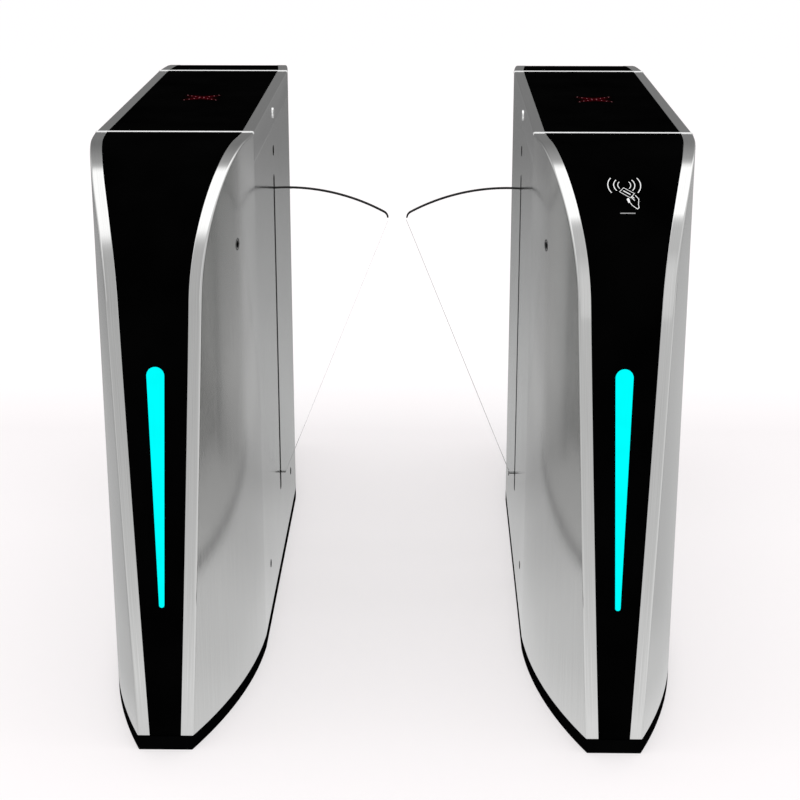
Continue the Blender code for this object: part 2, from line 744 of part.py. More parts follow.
def lock_barrel():
    """Key plug with its keyway, and the cam behind the housing that points down when unlocked."""
    cam_start = LOCK_DEPTH + FIT_GAP
    front = -LOCK_BEZEL_THICKNESS
    plug = lock_rod("lock_barrel", PLUG_RADIUS, front, cam_start + CAM_THICKNESS / 2)
    radius = CAM_WIDTH / 2
    foot = (LOCK_Y, LOCK_HEIGHT - CAM_LENGTH + radius)
    outline = tapered_slot(foot, radius, (LOCK_Y, LOCK_HEIGHT), LOCK_RADIUS, SLOT_END_STEPS)
    cam_x = HALF_WIDTH - cam_start - CAM_THICKNESS
    cam = prism("cam", outline, "X", cam_x, cam_x + CAM_THICKNESS)
    keyway = block(
        "keyway",
        (HALF_WIDTH - front, LOCK_Y, LOCK_HEIGHT),
        (LOCK_DEPTH, KEYWAY_WIDTH, KEYWAY_HEIGHT),
    )
    return cut(fuse(plug, cam), keyway)


# Chassis and electrical boxes


def chassis_frame():
    """Four angle posts on the tray, joined by rails, with the board's rails and the lock's catch."""
    outer = INNER_FACE - FIT_GAP
    flange = outer - POST_THICKNESS
    rail_in = flange + RAIL_BITE - RAIL_THICKNESS
    rail_foot = POST_TOP - RAIL_HEIGHT
    posts = []
    rails = []
    for x in (-1, 1):
        for y in (-1, 1):
            posts.append(angle_post(x, y, outer))
        near, far = sorted((x * rail_in, x * (flange + RAIL_BITE)))
        reach = POST_Y - POST_THICKNESS / 2
        rails.append(box("rail", (near, -reach, rail_foot), (far, reach, POST_TOP - RAIL_BITE)))
    for y in (-1, 1):
        cross_out = POST_Y - POST_THICKNESS + RAIL_BITE
        near, far = sorted((y * (cross_out - RAIL_THICKNESS), y * cross_out))
        reach = flange + RAIL_BITE / 2
        low, high = rail_foot + RAIL_BITE, POST_TOP - 2 * RAIL_BITE
        rails.append(box("cross", (-reach, near, low), (reach, far, high)))
    for height in BOARD_RAIL_HEIGHTS:
        reach = POST_Y - POST_THICKNESS / 2
        low = (-flange - RAIL_BITE, -reach, height - RAIL_HEIGHT / 2)
        rails.append(box("board_rail", low, (-rail_in, reach, height + RAIL_HEIGHT / 2)))
    return fuse(posts[0], *posts[1:], *rails, *catch_parts(rail_in))


def angle_post(x_side, y_side, outer):
    """A post of angle section in one corner."""
    wide = POST_WIDTH
    thick = POST_THICKNESS
    section = [(0, 0), (wide, 0), (wide, thick), (thick, thick), (thick, wide), (0, wide)]
    outline = [(x_side * (outer - a), y_side * (POST_Y - b)) for a, b in section]
    return prism("chassis_frame", outline, "Z", FLOOR_TOP, POST_TOP)


def catch_parts(rail_in):
    """The bracket that the lock's cam turns under: foot, upright and lip."""
    cam_x = HALF_WIDTH - LOCK_DEPTH - FIT_GAP - CAM_THICKNESS / 2
    inner, outer = cam_x - CATCH_WIDTH / 2, cam_x + CATCH_WIDTH / 2
    near = LOCK_Y + LOCK_RADIUS
    far = LOCK_Y + CATCH_REACH
    thick = POST_THICKNESS
    foot_top = POST_TOP - 3 * RAIL_BITE
    foot = box("foot", (inner, near, foot_top - thick), (rail_in + RAIL_BITE, far, foot_top))
    upright = box("upright", (inner, far - thick, foot_top - thick / 2), (outer, far, CATCH_HEIGHT))
    lip = box("lip", (inner, near, CATCH_HEIGHT - thick / 2), (outer, far, CATCH_HEIGHT + thick / 2))
    return [foot, upright, lip]


def power_supply():
    """Flat metal box on the tray's floor, with its terminal block."""
    x, y, z = SUPPLY_SIZE
    centre = (0, SUPPLY_Y, FLOOR_TOP + z / 2)
    case = block("power_supply", centre, SUPPLY_SIZE)
    wide, deep, high = SUPPLY_TERMINALS
    terminal_y = SUPPLY_Y + y / 2 + deep / 2 - JOINT_BITE
    place = (0, terminal_y, FLOOR_TOP + high / 2 + JOINT_BITE)
    return fuse(case, block("terminals", place, SUPPLY_TERMINALS))


def control_board():
    """Circuit board on standoffs at the board rails, with relays and a connector row."""
    thick, wide, high = BOARD_SIZE
    rail_face = -(INNER_FACE - FIT_GAP - POST_THICKNESS + RAIL_BITE - RAIL_THICKNESS)
    back = rail_face + FIT_GAP + BOARD_STANDOFF
    middle = sum(BOARD_RAIL_HEIGHTS) / 2
    board = block("control_board", (back + thick / 2, BOARD_Y, middle), BOARD_SIZE)
    parts = []
    for side in (-1, 1):
        y = BOARD_Y + side * (wide / 2 - BOARD_EDGE)
        for z in BOARD_RAIL_HEIGHTS:
            low, high_x = rail_face + FIT_GAP, back + thick / 2
            parts.append(rod("standoff", (y, z), BOARD_STANDOFF_RADIUS, "X", low, high_x, SMALL_SIDES))
    front = back + thick - thick / 2
    for i in range(RELAY_COUNT):
        y = BOARD_Y + (i - (RELAY_COUNT - 1) / 2) * RELAY_PITCH
        parts.append(block("relay", (front + RELAY_SIZE[0] / 2, y, middle), RELAY_SIZE))
    row_z = middle - high / 2 + CONNECTOR_SIZE[2] / 2 + BOARD_EDGE / 2
    parts.append(block("row", (front + CONNECTOR_SIZE[0] / 2, BOARD_Y, row_z), CONNECTOR_SIZE))
    return fuse(board, *parts)


# Wing


def lane(reach, height):
    """A point by its distance from the cabinet's lane side into the lane, and its height."""
    return Vector((HALF_WIDTH + reach, height))


def leading_edge():
    """The wing's foot and tip corners, its edge direction and the direction into the wing."""
    centre = lane(WING_ARC_REACH, WING_ARC_HEIGHT)
    foot = lane(WING_FOOT_REACH, WING_FOOT_HEIGHT)
    across = WING_REACH - WING_ARC_REACH
    tip = lane(WING_REACH, WING_ARC_HEIGHT + math.sqrt(WING_ARC_RADIUS ** 2 - across ** 2))
    along = (tip - foot).normalized()
    into = Vector((-along.y, along.x))
    return centre, foot, along, into


def tip_centre():
    """Centre of the rounding between the leading edge and the top arc."""
    centre, foot, along, into = leading_edge()
    start = foot + into * WING_TIP_RADIUS - centre
    reach = WING_ARC_RADIUS - WING_TIP_RADIUS
    half = start.dot(along)
    return centre + start + along * (math.sqrt(half ** 2 - start.length_squared + reach ** 2) - half)


def arc_end(inset):
    """Where an arc drawn in from the wing's top arc meets the tip's rounding, as two angles."""
    centre, foot, along, into = leading_edge()
    tip = tip_centre()
    reach = (tip - centre).length
    radius = WING_ARC_RADIUS - inset
    share = (radius ** 2 + reach ** 2 - WING_TIP_RADIUS ** 2) / (2 * radius * reach)
    towards = tip - centre
    angle = math.atan2(towards.y, towards.x) - math.acos(min(share, 1))
    at = centre + radius * Vector((math.cos(angle), math.sin(angle))) - tip
    return angle, math.atan2(at.y, at.x)


def arc_points(inset):
    """The top arc, from its inner end to the tip's rounding."""
    centre = lane(WING_ARC_REACH, WING_ARC_HEIGHT)
    radius = WING_ARC_RADIUS - inset
    first = math.acos((-WING_INNER_TOP - WING_ARC_REACH) / radius)
    return circle(centre, radius, first, arc_end(inset)[0], WING_ARC_STEPS)


def tip_points(inset, last, steps):
    """The tip's rounding, from where an inset arc meets it to another angle."""
    return circle(tip_centre(), WING_TIP_RADIUS, arc_end(inset)[1], last, steps)


def bolt_places():
    """Clamp bolts in a row along the wing's inner edge."""
    top = arc_points(0)[0]
    foot = lane(-WING_INNER_FOOT, WING_FOOT_HEIGHT)
    places = []
    for i in range(BOLT_COUNT):
        z = WING_FOOT_HEIGHT + BOLT_FOOT + i * BOLT_PITCH
        edge = foot.x + (top[0] - foot.x) * (z - foot.y) / (top[1] - foot.y)
        places.append((edge + BOLT_MARGIN, z))
    return places


def bolt_rods(name, radius, half_length, sides=HEXAGON_SIDES):
    return [rod(name, place, radius, "Y", -half_length, half_length, sides) for place in bolt_places()]


def flap_panel():
    """Clear plate of the wing, below its black edge, with the bolt holes."""
    inset = WING_EDGE + FIT_GAP
    centre, foot, along, into = leading_edge()
    outline = arc_points(inset)
    outline += tip_points(inset, math.atan2(-into.y, -into.x), WING_TIP_STEPS)[1:]
    outline += [tuple(foot), tuple(lane(-WING_INNER_FOOT, WING_FOOT_HEIGHT))]
    half = WING_THICKNESS / 2
    panel = prism("flap_panel", outline, "Y", -half, half)
    return cut(panel, *bolt_rods("hole", BOLT_RADIUS + FIT_GAP, half + OVERRUN))


def flap_edge_strip():
    """Black edge along the top arc and round the tip."""
    half = WING_THICKNESS / 2
    outer = arc_points(0)
    corner = tip_points(0, arc_end(WING_EDGE)[1], WING_TIP_STEPS)[1:]
    inner = list(reversed(arc_points(WING_EDGE)))[1:]
    return prism("flap_edge_strip", outer + corner + inner, "Y", -half, half)


def flap_foot_strip():
    """Black edge under the wing's foot."""
    half = WING_THICKNESS / 2
    low = lane(-WING_INNER_FOOT, WING_FOOT_HEIGHT - FIT_GAP - WING_FOOT_EDGE)
    high = lane(WING_FOOT_REACH, WING_FOOT_HEIGHT - FIT_GAP)
    return box("flap_foot_strip", (low.x, -half, low.y), (high.x, half, high.y))


# Drive


def shaft_rod(name, radius, low, high, sides=ROUND_SIDES):
    return rod(name, (PIVOT_X, PIVOT_HEIGHT), radius, "Y", low, high, sides)


def bearing_end():
    """How far the bearings reach from the wing's plane."""
    return UPRIGHT_BACK + FIT_GAP + BEARING_FLANGE


def flap_shaft():
    """Round shaft with a collar outside each bearing."""
    start = bearing_end() + FIT_GAP
    end = start + SHAFT_COLLAR_LENGTH
    shaft = shaft_rod("flap_shaft", SHAFT_RADIUS, -end, end)
    return fuse(
        shaft,
        shaft_rod("left_collar", SHAFT_COLLAR_RADIUS, -end + JOINT_BITE, -start),
        shaft_rod("right_collar", SHAFT_COLLAR_RADIUS, start, end - JOINT_BITE),
    )


def stop_lug():
    """Outline of the hub's stop lug, turned half the travel away from straight down."""
    half = LUG_WIDTH / 2
    turn = Matrix.Rotation(-WING_TRAVEL / 2, 2)
    corners = [(-half, 0), (half, 0), (half, -LUG_LENGTH), (-half, -LUG_LENGTH)]
    pivot = Vector((PIVOT_X, PIVOT_HEIGHT))
    return [tuple(pivot + turn @ Vector(corner)) for corner in corners]


def flap_clamp():
    """Hub on the shaft with a forked arm that grips the wing with four bolts, and the stop lug."""
    half = CLAMP_WIDTH / 2
    pivot = (PIVOT_X, PIVOT_HEIGHT)
    top = tuple(lane(-ARM_TOP_INSET, ARM_TOP_HEIGHT))
    outline = tapered_slot(pivot, HUB_RADIUS - JOINT_BITE, top, ARM_TOP_RADIUS, ROUND_SIDES // 2)
    arm = prism("flap_clamp", outline, "Y", -half, half)
    hub = shaft_rod("hub", HUB_RADIUS, -HUB_LENGTH / 2, HUB_LENGTH / 2)
    fuse(arm, prism("lug", stop_lug(), "Y", -half + JOINT_BITE, half - JOINT_BITE), hub)
    channel = CLAMP_CHANNEL / 2
    foot = WING_FOOT_HEIGHT - WING_FOOT_EDGE - 2 * FIT_GAP
    low = (-HALF_WIDTH, -channel, foot)
    slot = box("channel", low, (HALF_WIDTH, channel, ARM_TOP_HEIGHT + ARM_TOP_RADIUS + OVERRUN))
    bore = shaft_rod("bore", SHAFT_RADIUS + FIT_GAP, -HUB_LENGTH, HUB_LENGTH)
    cut(arm, slot, bore)
    full = half + BOLT_HEAD_HEIGHT
    bolts = bolt_rods("bolt", BOLT_RADIUS, half)
    for place in bolt_places():
        bolts.append(rod("near", place, BOLT_HEAD_RADIUS, "Y", -full, -half + JOINT_BITE, HEXAGON_SIDES))
        bolts.append(rod("far", place, BOLT_HEAD_RADIUS, "Y", half - JOINT_BITE, full, HEXAGON_SIDES))
    return fuse(arm, *bolts)


def tooth(centre, pitch_radius, middle):
    """Points of one involute tooth, from the root on one side to the root on the other."""
    base = pitch_radius * math.cos(PRESSURE_ANGLE)
    root = pitch_radius - GEAR_MODULE * ROOT_SHARE
    tip = pitch_radius + GEAR_MODULE
    thick = math.pi * GEAR_MODULE / 2 - GEAR_BACKLASH
    roll = math.tan(PRESSURE_ANGLE) - PRESSURE_ANGLE

    def half_angle(radius):
        slope = math.acos(base / max(radius, base))
        return thick / (2 * pitch_radius) + roll - (math.tan(slope) - slope)

    flank = [root] if root < base else []
    start = max(root, base)
    flank += [start + (tip - start) * step / FLANK_STEPS for step in range(FLANK_STEPS + 1)]
    half = [(radius, half_angle(radius)) for radius in flank]
    turned = [(radius, middle - angle) for radius, angle in half]
    turned += [(radius, middle + angle) for radius, angle in reversed(half)]
    return [(centre[0] + r * math.cos(a), centre[1] + r * math.sin(a)) for r, a in turned]




def sector_gear():
    """Toothed sector on the wing's shaft, with its boss, bore and round windows."""
    pivot = (PIVOT_X, PIVOT_HEIGHT)
    pitch = 2 * math.pi / SECTOR_TEETH
    centres = [math.pi - pitch * i for i in range(SECTOR_LAST, SECTOR_FIRST - 1, -1)]
    outline = []
    for middle in centres:
        outline += tooth(pivot, PITCH_RADIUS, middle)
    first = centres[0] - pitch / 2
    last = centres[-1] + pitch / 2
    outline += circle(pivot, SECTOR_HUB_RADIUS, last, first + 2 * math.pi, ROUND_SIDES)
    gear = prism("sector_gear", outline, "Y", GEAR_START, GEAR_END)
    boss_start = GEAR_START - SECTOR_BOSS_LENGTH
    fuse(gear, shaft_rod("boss", SECTOR_BOSS_RADIUS, boss_start, GEAR_START + JOINT_BITE))
    tools = [shaft_rod("bore", SHAFT_RADIUS + FIT_GAP, 0, GEAR_END + OVERRUN)]
    middle_radius = (SECTOR_HUB_RADIUS + PITCH_RADIUS) / 2
    for angle in (first + (last - first) * share for share in WINDOW_SHARES):
        at = (pivot[0] + middle_radius * math.cos(angle), pivot[1] + middle_radius * math.sin(angle))
        high = GEAR_END + OVERRUN
        tools.append(rod("window", at, SECTOR_WINDOW_RADIUS, "Y", 0, high, SMALL_SIDES))
    return cut(gear, *tools)




def pinion_rod(name, radius, low, high, sides=ROUND_SIDES):
    return rod(name, (PINION_X, PIVOT_HEIGHT), radius, "Y", low, high, sides)


def drive_pinion():
    """Pinion in mesh with the sector, on the motor's output shaft."""
    pitch = 2 * math.pi / PINION_TEETH
    outline = []
    for i in range(PINION_TEETH):
        outline += tooth((PINION_X, PIVOT_HEIGHT), PINION_PITCH_RADIUS, (i + 1 / 2) * pitch)
    gear = prism("drive_pinion", outline, "Y", GEAR_START, GEAR_END)
    end = UPRIGHT_BACK + FIT_GAP + MOTOR_SHAFT_SOCKET
    return fuse(gear, pinion_rod("shaft", MOTOR_SHAFT_RADIUS, GEAR_END - JOINT_BITE, end))


def gear_motor():
    """Gearbox against the upright, with the motor and its end cap behind it."""
    start = UPRIGHT_BACK + FIT_GAP
    gearbox_end = start + GEARBOX_LENGTH
    motor_end = gearbox_end + MOTOR_LENGTH
    motor = pinion_rod("gear_motor", GEARBOX_RADIUS, start, gearbox_end)
    can = pinion_rod("can", MOTOR_RADIUS, gearbox_end - JOINT_BITE, motor_end)
    cap = pinion_rod("cap", MOTOR_CAP_RADIUS, motor_end - JOINT_BITE, motor_end + MOTOR_CAP_LENGTH)
    fuse(motor, can, cap)
    socket_end = start + MOTOR_SHAFT_SOCKET + 2 * FIT_GAP
    return cut(motor, pinion_rod("socket", MOTOR_SHAFT_RADIUS + FIT_GAP, 0, socket_end))


def bumper_offset():
    """How far each bumper's centre lies beside the shaft, so that the lug just meets it."""
    half_turn = WING_TRAVEL / 2
    standing = LUG_WIDTH / 2 + FIT_GAP + BUMPER_RADIUS
    return (standing + BUMPER_DROP * math.sin(half_turn)) / math.cos(half_turn)


def bumper(side):
    """Rubber buffer with a round head, turned towards the stop lug."""
    x = PIVOT_X + side * bumper_offset()
    profile = circle((0, 0), BUMPER_RADIUS, -math.pi / 2, 0, BUMPER_STEPS)[1:]
    profile.append((BUMPER_RADIUS, BUMPER_LENGTH + JOINT_BITE))
    loops = []
    for radius, z in profile:
        loops.append([(a, b, z) for a, b in disc((0, 0), radius, SMALL_SIDES)])
    shape = loft("bumper", loops)
    turn = Matrix.Rotation(side * math.pi / 2, 4, "Y")
    return transformed(shape, Matrix.Translation((x, 0, PIVOT_HEIGHT - BUMPER_DROP)) @ turn)


def drive_bracket():
    """Base plate with two uprights for the bearings and the motor, and two ears with the bumpers."""
    left = PINION_X - BRACKET_MARGIN
    right = PIVOT_X + BRACKET_MARGIN
    top = FLOOR_TOP + BRACKET_BASE
    low = (left, -UPRIGHT_BACK, FLOOR_TOP)
    bracket = box("drive_bracket", low, (right, UPRIGHT_BACK, top))
    parts = []
    for side in (-1, 1):
        near, far = sorted((side * UPRIGHT_Y, side * (UPRIGHT_BACK - FIT_GAP)))
        start = left + JOINT_BITE if side > 0 else PIVOT_X - BRACKET_MARGIN
        low = (start, near, top - JOINT_BITE)
        parts.append(box("upright", low, (right - JOINT_BITE, far, UPRIGHT_TOP)))
        ear_near = PIVOT_X + side * (bumper_offset() + BUMPER_LENGTH)
        near, far = sorted((ear_near, ear_near + side * EAR_THICKNESS))
        ear_top = PIVOT_HEIGHT - BUMPER_DROP + BUMPER_RADIUS + JOINT_BITE
        low = (near, -EAR_WIDTH / 2, top - JOINT_BITE)
        parts.append(box("ear", low, (far, EAR_WIDTH / 2, ear_top)))
        parts.append(bumper(side))
    fuse(bracket, *parts)
    through = UPRIGHT_BACK + OVERRUN
    tools = [shaft_rod("seat", BEARING_RADIUS + FIT_GAP, -through, through)]
    tools.append(pinion_rod("pass", MOTOR_SHAFT_RADIUS + MOTOR_SHAFT_ROOM, 0, through))
    return cut(bracket, *tools)


def bearing(name, side):
    """Flanged bearing in one upright's seat."""
    inner = side * (UPRIGHT_Y - BEARING_OVERHANG)
    flange = side * UPRIGHT_BACK
    outer = side * bearing_end()
    body = shaft_rod(name, BEARING_RADIUS, *sorted((inner, outer - side * JOINT_BITE)))
    rim = shaft_rod("rim", BEARING_FLANGE_RADIUS, *sorted((flange, outer)))
    bore = shaft_rod("bore", SHAFT_RADIUS + FIT_GAP, *sorted((0, outer + side * OVERRUN)))
    return cut(fuse(body, rim), bore)


# Materials and assembly

FINISHES = {
    "black_plinth": ((0.012, 0.012, 0.013), 0.0, 0.45),
    "brushed_steel": ((0.56, 0.56, 0.55), 1.0, 0.32),
    "polished_trim": ((0.66, 0.66, 0.66), 1.0, 0.22),
    "black_glass": ((0.004, 0.004, 0.004), 0.0, 0.06),
    "cyan_light": ((0.0, 1.0, 1.0), 0.0, 0.30),
    "clear_wing": ((0.92, 0.95, 0.96), 0.0, 0.04),
    "black_edge": ((0.010, 0.010, 0.010), 0.0, 0.35),
    "chrome": ((0.80, 0.80, 0.80), 1.0, 0.10),
    "zinc_steel": ((0.55, 0.56, 0.58), 1.0, 0.40),
    "cast_alloy": ((0.45, 0.46, 0.48), 1.0, 0.50),
    "gear_steel": ((0.40, 0.40, 0.42), 1.0, 0.35),
    "motor_grey": ((0.10, 0.10, 0.11), 0.3, 0.45),
    "circuit_green": ((0.02, 0.16, 0.06), 0.0, 0.50),
    "sensor_black": ((0.010, 0.010, 0.012), 0.0, 0.20),
}


def finish(name):
    """The material of one finish, made once."""
    material = bpy.data.materials.get(name)
    if material:
        return material
    colour, metallic, roughness = FINISHES[name]
    material = bpy.data.materials.new(name)
    material.use_nodes = True
    shader = material.node_tree.nodes["Principled BSDF"]
    shader.inputs["Base Color"].default_value = (*colour, 1)
    shader.inputs["Metallic"].default_value = metallic
    shader.inputs["Roughness"].default_value = roughness
    return material


def cabinet_pieces():
    """Every piece of one cabinet: builder, finish and the point that it turns about."""
    still = (0, 0, 0)
    pivot = (PIVOT_X, 0, PIVOT_HEIGHT)
    hinge = (-HALF_WIDTH, 0, PARTING_HEIGHT)
    lock = (HALF_WIDTH, LOCK_Y, LOCK_HEIGHT)
    pinion = (PINION_X, 0, PIVOT_HEIGHT)
    return [
        (base_tray, "black_plinth", still),
        (inner_side_panel, "brushed_steel", still),
        (outer_side_panel, "brushed_steel", still),
        (entry_end_frame, "polished_trim", still),
        (lambda: mirrored_y(end_frame("exit_end_frame")), "polished_trim", still),
        (lambda: fascia("entry_fascia"), "black_glass", still),
        (lambda: mirrored_y(fascia("exit_fascia")), "black_glass", still),
        (lambda: light_strip("entry_light_strip"), "cyan_light", still),
        (lambda: mirrored_y(light_strip("exit_light_strip")), "cyan_light", still),
        (card_reader, "sensor_black", still),
        (chassis_frame, "zinc_steel", still),
        (power_supply, "zinc_steel", still),
        (control_board, "circuit_green", still),
        (drive_bracket, "cast_alloy", still),
        (lambda: bearing("front_bearing", -1), "gear_steel", still),
        (lambda: bearing("rear_bearing", 1), "gear_steel", still),
        (gear_motor, "motor_grey", still),
        (lid_frame, "polished_trim", hinge),
        (lid_glass, "black_glass", hinge),
        (indicator_module, "sensor_black", hinge),
        (lock_housing, "chrome", hinge),
        (lock_barrel, "chrome", lock),
        (flap_shaft, "gear_steel", pivot),
        (flap_clamp, "cast_alloy", pivot),
        (flap_panel, "clear_wing", pivot),
        (flap_edge_strip, "black_edge", pivot),
        (flap_foot_strip, "black_edge", pivot),
        (sector_gear, "gear_steel", pivot),
        (drive_pinion, "gear_steel", pinion),
    ]


def cabinet_place(side, turn):
    """The empty that carries one cabinet's pieces."""
    place = bpy.data.objects.new(side + "_cabinet", None)
    place.location = (-CABINET_X * math.cos(turn), 0, 0)
    place.rotation_euler = (0, 0, turn)
    bpy.context.scene.collection.objects.link(place)
    return place


def build():
    clear_scene()
    places = [("left", cabinet_place("left", 0)), ("right", cabinet_place("right", math.pi))]
    for make, finish_name, origin in cabinet_pieces():
        piece = make()
        name = piece.name
        mesh = piece.data
        bpy.data.objects.remove(piece, do_unlink=True)
        mesh.name = name
        mesh.transform(Matrix.Translation(-Vector(origin)))
        mesh.materials.clear()
        mesh.materials.append(finish(finish_name))
        mesh.shade_smooth()
        mesh.set_sharp_from_angle(angle=SHARP_ANGLE)
        for side, place in places:
            copy = bpy.data.objects.new(side + "_" + name, mesh)
            copy.location = origin
            copy.parent = place
            bpy.context.scene.collection.objects.link(copy)
    bpy.context.view_layer.update()


build()
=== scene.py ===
"""Looks of a flap gate for one walking lane: two slim steel cabinets with clear fan-shaped wings.

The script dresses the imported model. Pieces are made in one cabinet's own coordinates, lane side
towards +X, and each is placed on both cabinets, the right one turned by half a turn.
"""

import json
import math

import bmesh
import bpy
from bpy.props import FloatProperty, FloatVectorProperty, IntProperty, PointerProperty
from mathutils import Matrix, Vector


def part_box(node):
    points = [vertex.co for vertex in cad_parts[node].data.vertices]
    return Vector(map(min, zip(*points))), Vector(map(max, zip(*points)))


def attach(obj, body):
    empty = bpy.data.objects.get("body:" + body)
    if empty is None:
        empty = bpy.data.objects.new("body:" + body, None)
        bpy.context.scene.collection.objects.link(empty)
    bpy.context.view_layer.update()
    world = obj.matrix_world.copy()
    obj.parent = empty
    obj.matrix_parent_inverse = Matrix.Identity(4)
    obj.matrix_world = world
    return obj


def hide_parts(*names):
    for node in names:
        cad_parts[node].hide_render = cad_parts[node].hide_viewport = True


bl_info = {
    "name": "Flap gate looks",
    "version": (1, 0, 0),
    "blender": (4, 5, 0),
    "location": "View3D > Sidebar > Flap gate",
    "description": "Dresses a flap gate's cabinets, wings and stage",
    "category": "Object",
}

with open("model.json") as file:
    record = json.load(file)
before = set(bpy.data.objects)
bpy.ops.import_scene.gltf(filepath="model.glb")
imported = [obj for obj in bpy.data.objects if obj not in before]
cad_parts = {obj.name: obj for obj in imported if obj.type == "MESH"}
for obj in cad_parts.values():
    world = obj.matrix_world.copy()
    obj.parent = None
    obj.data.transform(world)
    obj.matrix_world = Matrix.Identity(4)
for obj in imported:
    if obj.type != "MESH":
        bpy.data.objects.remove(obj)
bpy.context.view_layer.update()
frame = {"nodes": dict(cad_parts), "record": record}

# Sizes of the cabinet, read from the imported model
TRAY_LOW, TRAY_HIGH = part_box("left_base_tray")
GLASS_LOW, GLASS_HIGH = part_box("left_lid_glass")
CABINET_X = -(TRAY_LOW.x + TRAY_HIGH.x) / 2
HALF_WIDTH = (TRAY_HIGH.x - TRAY_LOW.x) / 2
HALF_LENGTH = TRAY_HIGH.y
PLINTH_HEIGHT = TRAY_HIGH.z
TOP = GLASS_HIGH.z
HALF_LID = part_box("left_lid_frame")[1].y
PANEL_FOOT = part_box("left_inner_side_panel")[0].z

# Outline, panels, trims and fascias
FIT_GAP = 0.0003
SEAM_GAP = 0.0010
BEND_START = 0.390
BEND_FOLD = math.radians(2.7)
NOSE_HALF = 0.046
TOP_RADIUS = 0.250
FACE_LEAN = math.radians(6.1)
PANEL_THICKNESS = 0.0015
TRIM_WIDTH = 0.0205
TRIM_EDGE = 0.0035
TRIM_CORNER = 0.0030
TRIM_LIP = 0.0006
SEAM_LIP = 0.0035
FASCIA_THICKNESS = 0.005
FASCIA_DEPTH = 0.0004
BACKPLATE_DEPTH = 0.007
PARTING_HEIGHT = 0.9445
PARTING_STEP = 0.00022
PARTING_EDGE = 0.0004
LEDGE_WIDTH = 0.014
GLASS_DEPTH = 0.0002
GLASS_EDGE = 0.0005
BEAD_RADIUS = 0.0011
BEAD_WRAP = 0.0040
OVERRUN = 0.012

# Slot and light strips
SLOT_FOOT = 0.178
SLOT_TOP = 0.8465
SLOT_WIDTH = 0.016
EDGING_LIP = 0.0011
EDGING_RADIUS = 0.0013
EDGING_FLATTENING = (1, 1.2, 1)
LIGHT_TOP = 0.669
LIGHT_FOOT = 0.255
LIGHT_TOP_RADIUS = 0.0148
LIGHT_FOOT_RADIUS = 0.0045
# Growth of the outline and depth under the face, from the back to the rounded front
LIGHT_LAYERS = ((0.0, FASCIA_THICKNESS), (0.0, 0.0008), (-0.0003, 0.0003), (-0.0009, 0.0), (-0.0018, -0.0002))

# Hinges, lock, sensors and plinth
HINGE_Y = 0.250
KNUCKLE_RADIUS = 0.0035
KNUCKLE_LENGTH = 0.020
KNUCKLE_STEP = KNUCKLE_LENGTH + FIT_GAP
PIN_RADIUS = 0.0014
LOCK_Y = 0.010
LOCK_HEIGHT = 0.970
LOCK_BODY_RADIUS = 0.0095
LOCK_BODY_LENGTH = 0.014
LOCK_BORE_RADIUS = 0.0063
# Radius and both ends before the skirt's face
LOCK_NUT = (0.013, -0.0048, -0.0018)
NUT_CLEARANCE = 0.0001
# Radius and place before the skirt's face, along the bezel's section
LOCK_BEZEL = (
    (0.0066, -0.0003), (0.0110, -0.0003), (0.0110, 0.0010), (0.0106, 0.0017), (0.0096, 0.0021),
    (0.0075, 0.0021), (0.0066, 0.0016),
)
SENSOR_RADIUS = 0.010
LOW_SENSOR_RADIUS = 0.008
SENSOR_PLACES = (
    (0, 0.8965, SENSOR_RADIUS),
    (-0.260, 0.1185, LOW_SENSOR_RADIUS),
    (0.260, 0.1185, LOW_SENSOR_RADIUS),
    (-0.540, 0.834, SENSOR_RADIUS),
    (0.540, 0.834, SENSOR_RADIUS),
)
# Step from the sensor's radius and place before the panel's face
SENSOR_RIM = (
    (-0.0014, -0.0010), (0.0002, -0.0010), (0.0002, 0.0002), (-0.0004, 0.0005), (-0.0012, 0.0003),
    (-0.0014, -0.0004),
)
LENS_SEAT = 0.0002
# Share of the radius and place before the panel's face
LENS_DOME = ((0.6, 0.0001), (0, 0.0003))
# Inset from the radius, or growth over it, and both ends before the panel's face
SENSOR_BARREL = (0.0006, -0.034, -0.0018)
SENSOR_NUT = (0.005, -0.0075, -0.0016)
TRAY_WALL = 0.0015
TRAY_FLOOR = 0.003
CABLE_Y = 0.440
CABLE_RADIUS = 0.025
ANCHOR_X = 0.085
ANCHOR_Y = 0.290
# Radius, sides, foot and top of the washers and of the bolt heads
ANCHOR_ROWS = ((0.013, 32, 0.0028, 0.0055), (0.0092, 6, 0.0050, 0.0125))

# Wing, with its reaches measured from the lane side's face
WING_REACH_CENTRE = 0.027
WING_CENTRE_HEIGHT = 0.4166
WING_RADIUS = 0.407
WING_TIP_REACH = 0.233
WING_TIP_RADIUS = 0.016
WING_FOOT = (0.0115, 0.217)
WING_INNER_TOP = -0.020
WING_INNER_FOOT = -0.058
WING_HALF_THICKNESS = 0.005
WING_EDGE = 0.0028
WING_RIM = 0.0010
# Shares of the tip's turn: where the black edging ends, and how far after it the clear rim starts
EDGING_END = 0.68
EDGING_PART = 0.03
WING_HOLES = 4
WING_HOLE_STEP = 0.044
WING_HOLE_RISE = 0.040
WING_HOLE_INSET = 0.014
WING_HOLE_RADIUS = 0.0043
WING_FOOT_STRIP = 0.002

# Cross of light points in the lid
CROSS_Y = 0.0055
DOT_HEIGHT = 0.0004
PATCH_DEPTH = 0.0001
PATCH_HEIGHT = 0.00004

